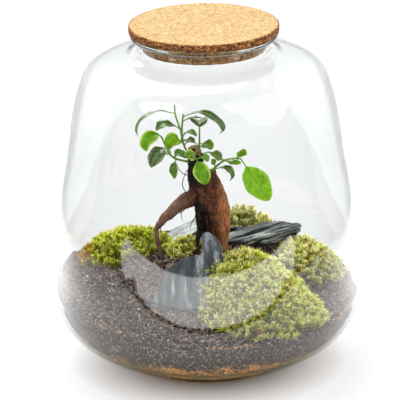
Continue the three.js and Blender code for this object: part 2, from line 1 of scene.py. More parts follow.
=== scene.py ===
# The looks of a planted glass terrarium: a blown-glass jar with a cork lid, and in it sand, potting soil,
# slates, moss cushions and a small ginseng ficus. Shapes are worked out in millimetres, +Z up, front -Y, and
# become metres when a mesh is made.
import itertools
import math
from collections import namedtuple

import bpy
import numpy as np
from mathutils import Matrix, Vector

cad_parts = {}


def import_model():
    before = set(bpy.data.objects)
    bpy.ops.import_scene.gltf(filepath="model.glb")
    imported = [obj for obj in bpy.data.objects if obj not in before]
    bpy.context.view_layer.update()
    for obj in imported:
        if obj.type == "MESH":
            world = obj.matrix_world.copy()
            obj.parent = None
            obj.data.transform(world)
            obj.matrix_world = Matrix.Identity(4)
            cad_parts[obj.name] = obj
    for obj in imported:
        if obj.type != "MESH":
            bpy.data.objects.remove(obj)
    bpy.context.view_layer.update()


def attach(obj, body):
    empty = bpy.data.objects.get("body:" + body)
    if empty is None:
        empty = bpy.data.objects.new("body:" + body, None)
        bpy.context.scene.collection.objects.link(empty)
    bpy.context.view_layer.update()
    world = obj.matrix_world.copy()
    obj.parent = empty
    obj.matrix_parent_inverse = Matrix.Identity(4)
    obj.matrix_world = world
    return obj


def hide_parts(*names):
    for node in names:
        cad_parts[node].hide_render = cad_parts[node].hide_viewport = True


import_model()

MM = 0.001
BODY = "root"

# ---- Driving dimensions, in millimetres, as in the part's source ----

HEIGHT = 250
BODY_RADIUS = 110.4
FOOT_RADIUS = 48
FOOT_RING = 8
FOOT_RECESS = 1.2
WALL = 3
FLOOR = 6.5
NECK_RADIUS = 46.3
NECK_WALL = 2.8
RIM_RADIUS = 52
RIM_HEIGHT = 243.6
CORK_FLANGE_RADIUS = 52.6
CORK_FLANGE = 6
CORK_PLUG_RADIUS = 42.8
CORK_PLUG_END = 232.6
CORK_STEP = 0.85  # between the lid's rings of points
PLUG_SHADE = 0.78  # how dark the plug is, between the lid's top, 0, and its side, 1
SAND_TOP = 24
MOUND_TOP = 80
MOUND = (4, 4)
MOUND_FLAT = 8
MOUND_REACH = 100
PLANT_LEAN = 0.0157
STEM_RADIUS = 0.9
STEM_TAPER = 0.35
PETIOLE_RADIUS = 0.5
LEAF_THICKNESS = 0.42
SKIN = 0.2  # how far the glass and the cork stay inside the part's box
GAP = 0.3
SOIL_AT_GLASS = [54, 60, 58.5, 63.5, 69, 57, 50, 50]  # every 45 degrees, from +X towards the back

BODY_CURVE = [
    (FOOT_RADIUS, 0), (68.6, 8.2), (92, 21.9), (104, 35.8), (109.6, 52), (BODY_RADIUS, 64), (109.1, 90),
    (107, 122), (101, 155.2), (95.4, 186), (89.8, 206.2), (82.6, 219.5), (69, 227), (NECK_RADIUS + 5, 230.6),
]


# ---- Numbers ----


def lerp(a, b, t):
    return a + (b - a) * t


def ease(x, low, high):
    """0 at low and 1 at high, with a soft start and end."""
    t = np.clip((x - low) / (high - low), 0, 1)
    return t * t * (3 - 2 * t)


def noise(points, size, seed=0):
    """Smooth noise from -1 to 1 at points (N, 3), with lumps of about the given size."""
    place = np.asarray(points, float) / size + seed * 7.31
    cell = np.floor(place).astype(np.int64)
    part = place - cell
    part = part * part * (3 - 2 * part)
    total = np.zeros(len(place))
    for corner in itertools.product((0, 1), repeat=3):
        c = (cell + corner).astype(np.uint32)
        h = c[:, 0] * np.uint32(73856093) ^ c[:, 1] * np.uint32(19349663) ^ c[:, 2] * np.uint32(83492791)
        h = (h ^ (h >> np.uint32(13))) * np.uint32(1274126177)
        h = h ^ (h >> np.uint32(16))
        weight = np.prod(np.where(corner, part, 1 - part), axis=1)
        total += weight * (h.astype(float) / 2147483648.0 - 1)
    return total


def rough(points, size, octaves=3, seed=0):
    """Noise with finer and finer lumps on it."""
    return sum(noise(points, size / 2**i, seed + i) / 2**i for i in range(octaves))


def spline(points, t, power=0.5):
    """Points on a smooth curve through the given ones, at t from 0 to 1. power is 0 for even steps."""
    p = np.asarray(points, float)
    p = np.vstack([2 * p[0] - p[1], p, 2 * p[-1] - p[-2]])
    count = len(p) - 3
    at = np.clip(np.asarray(t, float), 0, 1) * count
    i = np.minimum(at.astype(int), count - 1)
    s = (at - i)[:, None]
    p0, p1, p2, p3 = p[i], p[i + 1], p[i + 2], p[i + 3]
    d0, d1, d2 = (np.linalg.norm(b - a, axis=1)[:, None] ** power for a, b in ((p0, p1), (p1, p2), (p2, p3)))
    m1 = ((p1 - p0) / d0 - (p2 - p0) / (d0 + d1) + (p2 - p1) / d1) * d1
    m2 = ((p2 - p1) / d1 - (p3 - p1) / (d1 + d2) + (p3 - p2) / d2) * d1
    cube = 2 * p1 - 2 * p2 + m1 + m2
    square = -3 * p1 + 3 * p2 - 2 * m1 - m2
    return ((cube * s + square) * s + m1) * s + p1


def unit(vectors):
    return vectors / np.maximum(np.linalg.norm(vectors, axis=-1, keepdims=True), 1e-9)


def full_turn(sides):
    """Angles all the way round, in even steps."""
    return np.arange(sides) * 2 * math.pi / sides


def even(count):
    """Even steps from 0 to 1."""
    return np.linspace(0, 1, count)


def stacked(*values):
    return np.stack(values, -1)


def on_plane(x, y):
    """Points at height 0, for noise that is the same all the way up."""
    return stacked(x, y, np.zeros_like(x))


def from_axis(points):
    return np.hypot(points[:, 0], points[:, 1])


def leaning(points):
    """The plant's points, which were measured on the photograph's upright, set to the plant's lean."""
    p = np.array(points, float)
    x, z = p[:, 0].copy(), p[:, 2].copy()
    p[:, 0] = x + (z - MOUND_TOP) * PLANT_LEAN
    p[:, 2] = z - x * PLANT_LEAN
    return p


# ---- Meshes ----


def grid_faces(rows, columns, wrap=False):
    r = np.arange(rows - 1)[:, None]
    c = np.arange(columns if wrap else columns - 1)[None, :]
    d = (c + 1) % columns
    corners = [r * columns + c, r * columns + d, (r + 1) * columns + d, (r + 1) * columns + c]
    return np.stack(corners, -1).reshape(-1, 4)


def wound(rows, sides):
    """Faces of rings of points round an axis, with one point before the first and one after the last."""
    quads = grid_faces(rows, sides, wrap=True) + 1
    c = np.arange(sides)
    d = (c + 1) % sides
    last = rows * sides + 1
    first_fan = stacked(np.zeros_like(c), d + 1, c + 1)
    last_fan = stacked(np.full_like(c, last), last - sides + c, last - sides + d)
    return [quads, first_fan, last_fan]


def turned(profile, sides):
    """A profile of (radius, height), from axis to axis, turned about Z."""
    profile = np.asarray(profile, float)
    angle = full_turn(sides)
    ring = profile[1:-1]
    x = ring[:, :1] * np.cos(angle)
    y = ring[:, :1] * np.sin(angle)
    z = np.repeat(ring[:, 1:], sides, axis=1)
    points = stacked(x, y, z).reshape(-1, 3)
    points = np.vstack([[0, 0, profile[0, 1]], points, [0, 0, profile[-1, 1]]])
    return points, wound(len(ring), sides)


def repeated(faces, points, count):
    """The faces of a shape of so many points, for count copies of it."""
    return (faces[None] + (np.arange(count) * points)[:, None, None]).reshape(-1, faces.shape[1])


def copies(points, faces, turns, places):
    """One small shape repeated at many places, each with its own 3 by 3 turn."""
    many = np.einsum("nij,pj->npi", turns, points) + places[:, None, :]
    return many.reshape(-1, 3), repeated(faces, len(points), len(places))


def new_mesh(name, points, blocks, attributes=None, smooth=True):
    mesh = bpy.data.meshes.new(name)
    corners = np.concatenate([block.ravel() for block in blocks]).astype(np.int32)
    sizes = np.concatenate([np.full(len(block), block.shape[1]) for block in blocks])
    starts = (np.cumsum(sizes) - sizes).astype(np.int32)
    mesh.vertices.add(len(points))
    mesh.vertices.foreach_set("co", (np.asarray(points) * MM).astype(np.float32).ravel())
    mesh.loops.add(len(corners))
    mesh.loops.foreach_set("vertex_index", corners)
    mesh.polygons.add(len(sizes))
    mesh.polygons.foreach_set("loop_start", starts)
    mesh.update(calc_edges=True)
    for key, values in (attributes or {}).items():
        layer = mesh.attributes.new(key, "FLOAT", "POINT")
        layer.data.foreach_set("value", np.asarray(values, np.float32))
    if smooth:
        mesh.shade_smooth()
    else:
        mesh.shade_flat()
    return mesh


def in_scene(name, data):
    made = bpy.data.objects.new(name, data)
    bpy.context.scene.collection.objects.link(made)
    return made


def add_piece(name, mesh, material, slot, *nodes):
    """Puts a mesh in the scene as a piece of the object, in place of the CAD nodes named."""
    piece = in_scene(name, mesh)
    mesh.materials.append(material)
    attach(piece, BODY)
    if nodes:
        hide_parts(*nodes)


def vectors(items, key):
    """The points or the normals of a mesh, one row each."""
    values = np.zeros(len(items) * 3, np.float32)
    items.foreach_get(key, values)
    return values.reshape(-1, 3).astype(float)


def joined(parts):
    """Points and face blocks of several (points, blocks) put together."""
    points, blocks, start = [], [], 0
    for part_points, part_blocks in parts:
        points.append(part_points)
        blocks += [block + start for block in part_blocks]
        start += len(part_points)
    return np.vstack(points), blocks


# ---- Materials ----


def colour(red, green, blue):
    """A display's colour, 0 to 255, as the linear one that shaders take."""
    def linear(v):
        v = v / 255
        return v / 12.92 if v <= 0.04045 else ((v + 0.055) / 1.055) ** 2.4

    return (linear(red), linear(green), linear(blue), 1)


class Nodes:
    """Short ways to make the nodes of one tree."""

    def __init__(self, tree):
        self.tree = tree

    def node(self, kind, inputs=None, **settings):
        made = self.tree.nodes.new(kind)
        for key, value in settings.items():
            setattr(made, key, value)
        for key, value in (inputs or {}).items():
            if isinstance(value, bpy.types.NodeSocket):
                self.tree.links.new(value, made.inputs[key])
            else:
                made.inputs[key].default_value = value
        return made

    def math(self, how, first, second=0.0):
        return self.node("ShaderNodeMath", {0: first, 1: second}, operation=how).outputs[0]

    def times(self, first, second):
        return self.math("MULTIPLY", first, second)

    def span(self, value, low, high, out_low=0, out_high=1):
        inputs = {"Value": value, "From Min": low, "From Max": high, "To Min": out_low, "To Max": out_high}
        return self.node("ShaderNodeMapRange", inputs).outputs["Result"]

    def between(self, share, first, second):
        """A number from first, where share is 0, to second, where it is 1."""
        return self.node("ShaderNodeMix", {0: share, 2: first, 3: second}).outputs[0]

    def met(self, kind):
        """1 for light that has met a surface of this kind, Glossy or Diffuse, on its way, else 0."""
        depth = self.node("ShaderNodeLightPath").outputs[f"{kind} Depth"]
        return self.math("GREATER_THAN", depth, 0.5)


class Paint(Nodes):
    """A material and short ways to make its nodes."""

    def __init__(self, name):
        self.material = bpy.data.materials.new(name)
        self.material.use_nodes = True
        super().__init__(self.material.node_tree)
        self.tree.nodes.clear()
        self.place = self.node("ShaderNodeTexCoord").outputs["Object"]

    def stretched(self, x=1, y=1, z=1):
        return self.node("ShaderNodeMapping", {"Vector": self.place, "Scale": (x, y, z)}).outputs["Vector"]

    def noise(self, size, detail=3, place=None, roughness=0.55):
        """Clouds from 0 to 1, with lumps of a size in millimetres."""
        inputs = {"Vector": place or self.place, "Scale": 1000 / size, "Detail": detail}
        return self.node("ShaderNodeTexNoise", {**inputs, "Roughness": roughness}).outputs["Fac"]

    def cells(self, size):
        inputs = {"Vector": self.place, "Scale": 1000 / size}
        return self.node("ShaderNodeTexVoronoi", inputs).outputs

    def grains(self, size):
        """A random number, the same all over each grain of a size in millimetres."""
        shade = self.cells(size)["Color"]
        return self.node("ShaderNodeSeparateColor", {"Color": shade}).outputs["Red"]

    def grain_relief(self, size):
        """How far a place is from the middle of its grain."""
        return self.cells(size)["Distance"]

    def mark(self, name):
        return self.node("ShaderNodeAttribute", attribute_name=name).outputs["Fac"]

    def ramp(self, value, *stops):
        """Colours along a value, for stops of position, red, green and blue."""
        made = self.node("ShaderNodeValToRGB", {"Fac": value})
        elements = made.color_ramp.elements
        while len(elements) < len(stops):
            elements.new(0.5)
        for element, (at, *shade) in zip(elements, stops):
            element.position = at
            element.color = colour(*shade)
        return made.outputs["Color"]

    def mix(self, share, first, second, how="MIX"):
        inputs = {0: share, 6: first, 7: second}
        return self.node("ShaderNodeMix", inputs, data_type="RGBA", blend_type=how).outputs[2]

    def over(self, share, tone, *shade):
        """A tone with a share of the colour given as red, green and blue."""
        return self.mix(share, tone, colour(*shade))

    def shaded(self, tone, level):
        """A tone made darker or lighter by a level, which is 1 for no change."""
        grey = self.node("ShaderNodeCombineColor", {0: level, 1: level, 2: level}).outputs[0]
        return self.mix(1.0, tone, grey, "MULTIPLY")

    def bump(self, height, depth, under=None):
        """Relief of a depth in millimetres for a height from 0 to 1."""
        inputs = {"Height": height, "Distance": depth * MM, "Strength": 1.0}
        if under is not None:
            inputs["Normal"] = under
        return self.node("ShaderNodeBump", inputs).outputs["Normal"]

    def surface(self, tone, roughness, relief, **more):
        inputs = {"Base Color": tone, "Roughness": roughness, "Normal": relief}
        inputs.update({key.replace("_", " "): value for key, value in more.items()})
        return self.node("ShaderNodeBsdfPrincipled", inputs).outputs[0]

    def shares(self, share, first, second):
        return self.node("ShaderNodeMixShader", {0: share, 1: first, 2: second}).outputs[0]

    def finish(self, shader, **more):
        self.node("ShaderNodeOutputMaterial", {"Surface": shader, **more})
        return self.material

    def plain(self, *look, **more):
        """The finished material with one surface all over."""
        return self.finish(self.surface(*look, **more))


def glass_material():
    """Clear glass. Light for what stands in it passes straight through, and more of it near the outline."""
    paint = Paint("clear_glass")
    ripple = paint.bump(paint.noise(38, 1), 0.015)
    smear = paint.span(paint.noise(30, 2), 0.3, 0.9, 0.0, 0.015)
    glass = paint.surface((0.948, 0.958, 0.960, 1), smear, ripple, IOR=1.46, Transmission_Weight=1.0)
    clear = paint.node("ShaderNodeBsdfTransparent", {"Color": (0.985, 0.99, 0.99, 1)}).outputs[0]
    path = paint.node("ShaderNodeLightPath").outputs
    passing = paint.math("MAXIMUM", path["Is Shadow Ray"], path["Is Diffuse Ray"])
    edge_on = paint.node("ShaderNodeLayerWeight", {"Blend": 0.5}).outputs["Facing"]
    passing = paint.math("MAXIMUM", passing, paint.span(edge_on, 0.68, 0.92, 0.0, 0.84))
    body = paint.node("ShaderNodeVolumeAbsorption", {"Color": (0.78, 0.84, 0.83, 1), "Density": 10.0})
    return paint.finish(paint.shares(passing, glass, clear), Volume=body.outputs[0])


def cork_material():
    """Pressed cork granules: pale on top, darker and pitted on the side, whose darkness is partly the cork's
    own colour and partly painted shade.
    """
    paint = Paint("cork_granules")
    side = paint.mark("side")
    grain = paint.grains(1.25)
    fine = paint.grains(0.8)
    pale = paint.ramp(grain, (0, 136, 104, 62), (0.2, 156, 128, 84), (0.6, 170, 144, 99), (1, 186, 162, 118))
    dark = paint.ramp(grain, (0, 40, 20, 6), (0.3, 92, 50, 16), (0.7, 136, 82, 30), (1, 176, 124, 66))
    # the side is darker: partly the cork's own colour, partly painted shade
    tone = paint.mix(side, pale, dark)
    tone = paint.over(paint.span(fine, 0.0, 0.09, 0.4, 0.0), tone, 120, 78, 38)
    pits = paint.times(paint.span(paint.noise(2.2, 2), 0.34, 0.42, 1, 0), side)
    tone = paint.over(pits, tone, 48, 28, 14)
    relief = paint.bump(paint.grain_relief(1.25), 0.2)
    relief = paint.bump(paint.noise(0.6, 3), 0.18, relief)
    return paint.plain(tone, paint.span(fine, 0, 1, 0.75, 0.95), relief)


def sand_material():
    paint = Paint("orange_sand")
    grain = paint.grains(1.1)
    tone = paint.ramp(
        grain, (0, 120, 64, 22), (0.15, 190, 112, 44), (0.5, 232, 156, 78), (0.85, 246, 192, 122),
        (1, 250, 226, 180),
    )
    patches = paint.span(paint.noise(16, 2), 0.42, 0.58, 0, 0.6)
    tone = paint.over(patches, tone, 110, 96, 72)
    relief = paint.bump(paint.grain_relief(1.1), 0.4)
    return paint.plain(tone, paint.span(grain, 0, 1, 0.7, 0.95), relief)


def soil_material():
    """Dark potting soil with paler grains, tan at its edge on the glass and sandy near its foot."""
    paint = Paint("potting_soil")
    clod = paint.noise(4, 4, roughness=0.75)
    grain = paint.grains(0.8)
    tone = paint.ramp(clod, (0.36, 8, 6, 5), (0.5, 36, 30, 27), (0.6, 70, 60, 55), (0.72, 120, 106, 98))
    grainy = paint.ramp(grain, (0, 4, 3, 3), (0.35, 22, 18, 16), (0.7, 84, 73, 66), (1, 158, 142, 130))
    tone = paint.mix(0.65, tone, grainy)
    tone = paint.over(paint.times(paint.mark("depth"), 0.5), tone, 66, 60, 56)
    light = paint.times(paint.span(grain, 0.88, 0.95), paint.span(grain, 0.2, 0.9, 0.2, 0.6))
    tone = paint.over(light, tone, 190, 174, 162)
    tan = paint.times(paint.mark("crest"), paint.span(grain, 0.4, 0.65))
    tone = paint.over(tan, tone, 186, 144, 112)
    sandy = paint.times(paint.mark("sandy"), paint.span(clod, 0.42, 0.52))
    sand = paint.ramp(grain, (0, 112, 56, 18), (0.4, 206, 124, 48), (0.8, 244, 176, 96), (1, 252, 222, 170))
    tone = paint.mix(sandy, tone, sand)
    relief = paint.bump(paint.noise(1.3, 4), 0.5)
    relief = paint.bump(paint.grain_relief(0.95), 0.5, relief)
    return paint.plain(tone, paint.span(clod, 0.3, 0.7, 0.98, 0.8), relief, Specular_IOR_Level=0.15)


def crumb_material():
    paint = Paint("soil_crumbs")
    tone = paint.ramp(
        paint.mark("tone"), (0, 12, 10, 9), (0.35, 44, 36, 32), (0.6, 84, 71, 64), (0.8, 124, 104, 92),
        (0.93, 176, 150, 134), (1, 226, 212, 200),
    )
    mottled = paint.span(paint.noise(0.8, 3), 0.35, 0.7, 0.65, 1.15)
    relief = paint.bump(paint.noise(0.5, 3), 0.2)
    roughness = paint.span(mottled, 0.65, 1.15, 0.98, 0.8)
    return paint.plain(paint.shaded(tone, mottled), roughness, relief, Specular_IOR_Level=0.15)


def bark_material():
    """Reddish-brown bark with fine dark wrinkles, nearly black on the cut stump. The cleft and the back
    behind the legs are painted nearly black as shade, and the right flank is painted paler and oranger as
    light.
    """
    paint = Paint("ficus_bark")
    fibre = paint.noise(1.3, 5, paint.stretched(1, 1, 0.3), 0.7)
    ring = paint.noise(1.7, 4, paint.stretched(0.4, 0.4, 1.5), 0.65)
    speck = paint.noise(0.7, 3)
    patch = paint.noise(7, 4)
    tone = paint.ramp(fibre, (0.32, 16, 7, 3), (0.46, 58, 26, 12), (0.58, 98, 50, 26), (0.74, 164, 98, 56))
    tone = paint.over(paint.span(ring, 0.4, 0.5, 0.7, 0), tone, 44, 22, 14)
    # painted light: the right flank is made paler and oranger, as if lit
    lit = paint.times(paint.mark("painted_lit_flank"), paint.span(patch, 0.25, 0.6, 0.25, 0.85))
    tone = paint.mix(lit, tone, paint.ramp(fibre, (0.3, 120, 62, 30), (0.7, 214, 142, 88)))
    tone = paint.over(paint.span(speck, 0.6, 0.72, 0, 0.5), tone, 204, 150, 110)
    tone = paint.over(paint.span(speck, 0.4, 0.3, 0, 0.6), tone, 34, 18, 12)
    dusty = paint.times(paint.mark("arm"), paint.span(patch, 0.25, 0.65, 0.35, 0.85))
    tone = paint.over(dusty, tone, 110, 82, 66)
    # nearly black: the stump's own aged bark and the dry rootlets, and painted shade in the cleft and behind
    # the legs
    dark = paint.ramp(fibre, (0.3, 6, 4, 4), (0.6, 24, 14, 13), (0.85, 74, 50, 42))
    tone = paint.mix(paint.mark("dark_bark_and_shade"), tone, dark)
    sawn = paint.ramp(paint.noise(1.2, 3), (0.3, 52, 32, 18), (0.5, 122, 92, 54), (0.8, 204, 190, 130))
    tone = paint.mix(paint.mark("cut"), tone, sawn)
    relief = paint.bump(fibre, 0.4)
    relief = paint.bump(ring, 0.3, relief)
    relief = paint.bump(speck, 0.15, relief)
    return paint.plain(tone, paint.span(fibre, 0.3, 0.8, 0.75, 0.45), relief, Specular_IOR_Level=0.2)


def leaf_material():
    """Leathery ficus leaves: waxy above, matt and paler below, and lit through by light behind them."""
    paint = Paint("ficus_leaf")
    tone, under, vein, rim = (paint.mark(key) for key in ("tone", "under", "vein", "rim"))
    upper_side = paint.ramp(
        tone, (0, 40, 62, 34), (0.3, 60, 92, 30), (0.6, 96, 142, 12), (0.85, 116, 168, 0), (1, 146, 196, 4),
    )
    under_side = paint.ramp(tone, (0, 88, 116, 66), (0.5, 126, 160, 58), (1, 150, 192, 30))
    blotch = paint.span(paint.noise(3.4, 3), 0.35, 0.65, 0.6, 1.3)
    green = paint.shaded(paint.mix(under, upper_side, under_side), blotch)
    # painted sheen: pale patches that stand in for gloss, most on the dark leaves
    sheen = paint.times(paint.span(paint.noise(2.1, 2), 0.52, 0.64), paint.span(tone, 0.15, 0.8, 0.6, 0.12))
    green = paint.over(sheen, green, 148, 170, 136)
    # veins: paler on dark leaves, their own colour; darker on bright leaves, painted shade of the thick
    # midrib against the light behind
    line = paint.ramp(tone, (0, 150, 172, 104), (0.6, 150, 186, 60), (0.85, 84, 138, 6))
    green = paint.mix(paint.times(vein, 0.6), green, line)
    green = paint.over(paint.times(rim, 0.9), green, 222, 232, 120)
    relief = paint.bump(vein, 0.15)
    relief = paint.bump(paint.noise(2.6, 2), 0.22, relief)
    roughness = paint.math("ADD", paint.span(paint.noise(2.2, 2), 0.3, 0.7, 0.22, 0.36), under)
    face = paint.surface(
        green, roughness, relief, Specular_IOR_Level=0.35, Coat_Weight=paint.span(tone, 0.2, 0.8, 0.6, 0.15),
        Coat_Roughness=0.18,
    )
    through = {"Color": paint.over(0.5, green, 186, 226, 20), "Normal": relief}
    through = paint.node("ShaderNodeBsdfTranslucent", through).outputs[0]
    return paint.finish(paint.shares(paint.span(tone, 0, 1, 0.22, 0.5), face, through))


def slate_material(name, tones):
    """Split slate: streaks and layers in greys, painted shade near black in the cracks, a painted highlight
    on the layers' outer edges, a dull shine.
    """
    paint = Paint(name)
    fine = paint.noise(0.8, 4, roughness=0.7)
    tone = paint.math("ADD", paint.mark("tone"), paint.span(fine, 0.3, 0.7, -0.12, 0.12))
    stone = paint.ramp(tone, *((at, *shade) for at, shade in zip((0.12, 0.38, 0.6, 0.86), tones)))
    # painted highlight: the layers' outer edges made paler
    edge_highlight = paint.times(paint.mark("edge"), paint.span(fine, 0.35, 0.6, 0.1, 0.5))
    stone = paint.over(edge_highlight, stone, *tones[-1])
    # painted shade: the cracks near black
    stone = paint.over(paint.mark("crack"), stone, *(v * 0.25 for v in tones[0]))
    relief = paint.bump(fine, 0.25)
    relief = paint.bump(tone, 0.3, relief)
    return paint.plain(stone, paint.span(tone, 0.2, 0.8, 0.45, 0.7), relief)


def moss_material():
    """Moss leaflets: dark at their foot, yellow-green at the tip, a few shoots dry and orange-brown."""
    paint = Paint("moss_leaflets")
    tip, tone = paint.mark("tip"), paint.mark("tone")
    fresh = paint.ramp(tone, (0, 128, 154, 34), (0.3, 208, 218, 34), (0.6, 248, 248, 84), (1, 254, 254, 196))
    foot = paint.ramp(tone, (0, 40, 36, 6), (0.5, 116, 106, 14), (1, 206, 204, 40))
    shade = paint.mix(paint.span(tip, 0.14, 0.8), foot, fresh)
    orange = paint.mix(tip, colour(96, 44, 12), colour(218, 158, 34))
    shade = paint.mix(paint.times(paint.mark("dry"), 0.85), shade, orange)
    shade = paint.shaded(shade, paint.span(paint.noise(6, 3), 0.35, 0.65, 0.82, 1.12))
    relief = paint.bump(paint.noise(0.4, 2), 0.04)
    face = paint.surface(shade, paint.span(tone, 0, 1, 0.55, 0.75), relief, Specular_IOR_Level=0.25)
    through = paint.node("ShaderNodeBsdfTranslucent", {"Color": shade}).outputs[0]
    return paint.finish(paint.shares(0.42, face, through))


# ---- Glass jar and cork lid ----


def body_profile(inset, steps=96):
    t = even(steps)
    at = spline(BODY_CURVE, t, 0)
    ahead = spline(BODY_CURVE, np.minimum(t + 1e-4, 1), 0) - spline(BODY_CURVE, np.maximum(t - 1e-4, 0), 0)
    along = unit(ahead)
    return stacked(at[:, 0] - along[:, 1] * inset, at[:, 1] + along[:, 0] * inset)


def inner_wall():
    wall = body_profile(WALL)
    return wall[wall[:, 1] > FLOOR + 3]


def wall_radius(height, gap=GAP):
    """How far from the axis the glass allows at a height, with a gap."""
    wall = inner_wall()
    return np.interp(height, wall[:, 1], wall[:, 0]) - gap


def glass_jar():
    mouth = NECK_RADIUS - NECK_WALL
    recess = FOOT_RADIUS - FOOT_RING
    outside = body_profile(SKIN)
    wall = inner_wall()
    foot = [
        (0, FOOT_RECESS), (recess - 3, FOOT_RECESS), (recess - 1, 0.9), (recess, 0.25), (recess + 1, 0),
        (FOOT_RADIUS - 1.5, 0), (FOOT_RADIUS + 1, 0.15),
    ]
    neck = [(NECK_RADIUS + 2.2, 231.6), (NECK_RADIUS + 0.5, 233), (NECK_RADIUS, 235), (NECK_RADIUS, 238)]
    rim = [
        (NECK_RADIUS + 0.4, 239.4), (RIM_RADIUS - 2, 240.6), (RIM_RADIUS - 0.3, 241.9),
        (RIM_RADIUS - 0.6, 243.2), (RIM_RADIUS - 1.8, RIM_HEIGHT), (RIM_RADIUS - 4, RIM_HEIGHT - 0.3),
        (NECK_RADIUS - 1.6, 242), (mouth, 239.5),
    ]
    neck_inside = [(mouth, 236), (mouth + 0.3, 232.6), (NECK_RADIUS, 230), (NECK_RADIUS + 4, 228.3)]
    bend = [wall[0], (wall[0][0] - 6, FLOOR + 0.6), (wall[0][0] - 14, FLOOR)]
    profile = np.vstack([
        foot, outside[outside[:, 1] > 0.6], spline(neck, even(12)), spline(rim, even(40)),
        spline(neck_inside, even(12)), wall[::-1][1:], spline(bend, even(10))[1:], (0, FLOOR),
    ])
    points, blocks = turned(profile, 224)
    add_piece("jar", new_mesh("jar", points, blocks), glass_material(), "glass", "glass_jar")


def cork_lid():
    foot, top, edge = HEIGHT - CORK_FLANGE + 0.1, HEIGHT - SKIN, 0.7
    wide, narrow = CORK_FLANGE_RADIUS, CORK_PLUG_RADIUS
    corners = [
        (0.01, CORK_PLUG_END), (narrow - edge, CORK_PLUG_END), (narrow, CORK_PLUG_END + edge),
        (narrow, foot), (wide - edge, foot), (wide, foot + edge), (wide, HEIGHT - edge), (wide - edge, top),
        (0.01, top),
    ]
    profile = []
    for (r0, z0), (r1, z1) in zip(corners, corners[1:]):
        count = max(1, round(math.hypot(r1 - r0, z1 - z0) / CORK_STEP))
        profile += [(lerp(r0, r1, i / count), lerp(z0, z1, i / count)) for i in range(count)]
    profile.append(corners[-1])
    points, blocks = turned(profile, 280)
    radius = from_axis(points)
    # side marks where the cork is painted darker, partly as shade
    side = ease(radius, wide - 1.2, wide - 0.4)
    side = np.maximum(side, ease(HEIGHT - points[:, 2], 1.2, 2.4))
    side = np.where(points[:, 2] < foot - 0.5, PLUG_SHADE, side)
    smooth = new_mesh("lid", points, blocks)
    hollow = np.maximum(0, noise(points, 1.7, 3) * 0.5 + rough(points, 0.9, 2, 5) * 0.4) * 0.3
    pits = ease(noise(points, 1.6, 9), 0.45, 0.8) * (0.12 + 0.73 * side)
    inward = (hollow + pits) * ease(radius, 0, 3)
    points = points - vectors(smooth.vertex_normals, "vector") * inward[:, None]
    mesh = new_mesh("lid", points, blocks, {"side": side})
    add_piece("lid", mesh, cork_material(), "cork", "cork_lid")


# ---- Sand and soil ----


def soil_at_glass(angle):
    at = (np.degrees(angle) % 360) / 45
    low = np.floor(at).astype(int) % 8
    heights = np.array(SOIL_AT_GLASS, float)
    return lerp(heights[low], heights[(low + 1) % 8], ease(at - np.floor(at), 0, 1))


def soil_height(x, y):
    """The soil's top, as in the part's source."""
    edge = soil_at_glass(np.arctan2(y, x))
    slope = 1 - ease(np.hypot(x - MOUND[0], y - MOUND[1]), MOUND_FLAT, MOUND_REACH)
    lumps = 0.7 * np.sin(x * 0.31 + 1.3 * np.sin(y * 0.17)) + 0.6 * np.sin(y * 0.37 + 1.1 * np.sin(x * 0.23))
    return lerp(edge, MOUND_TOP, slope) + lumps


def soil_detail(x, y):
    return rough(on_plane(x, y), 9, 3, 4) * 0.9 + rough(on_plane(x, y), 2.2, 3, 8) * 0.55


def sand_height(x, y):
    return SAND_TOP + 0.8 * np.sin(x * 0.06 + 0.5) * np.sin(y * 0.05)


def bed(low, high, detail, sides, side_rows, top_rows):
    """A bed that fills the jar between two surfaces, each given by a function of the place."""
    angle = full_turn(sides)
    cos, sin = np.cos(angle), np.sin(angle)

    def meet(surface):
        """Where a surface meets the glass, all the way round."""
        radius = np.full(sides, BODY_RADIUS - WALL)
        for _ in range(12):
            height = surface(radius * cos, radius * sin)
            radius = wall_radius(height)
        return radius, height

    low_radius, low_height = meet(low)
    high_radius, high_height = meet(high)
    rows = []
    for share in (0.35, 0.7, 0.97):
        x, y = low_radius * cos * share, low_radius * sin * share
        rows.append(stacked(x, y, low(x, y)))
    for share in even(side_rows):
        height = lerp(low_height, high_height, share)
        radius = wall_radius(height)
        points = stacked(radius * cos, radius * sin, height)
        hollow = np.maximum(0, rough(points, 2.4, 3, 12)) * 1.1
        fade = ease(share, 0, 0.05)
        radius = radius - hollow * fade
        rows.append(stacked(radius * cos, radius * sin, height))
    for share in np.linspace(1, 0.01, top_rows)[1:]:
        x, y = high_radius * cos * share, high_radius * sin * share
        rows.append(stacked(x, y, high(x, y) + detail(x, y) * ease(share, 1, 0.97)))
    middle = np.zeros(1)
    first = [0, 0, low(middle, middle)[0]]
    last = [0, 0, high(middle, middle)[0]]
    points = np.vstack([first, np.concatenate(rows), last])
    return points, wound(len(rows), sides)


def sand_bed():
    def floor(x, y):
        return np.full_like(x, FLOOR + 3.4)

    def ripple(x, y):
        return rough(on_plane(x, y), 2, 2, 6) * 0.3

    points, blocks = bed(floor, sand_height, ripple, 420, 22, 24)
    under = from_axis(points) < inner_wall()[0][0] - 12
    low = under & (points[:, 2] < SAND_TOP - 4)
    points[low, 2] = FLOOR + GAP
    mesh = new_mesh("sand", points, blocks)
    add_piece("sand", mesh, sand_material(), "sand", "drainage_sand")


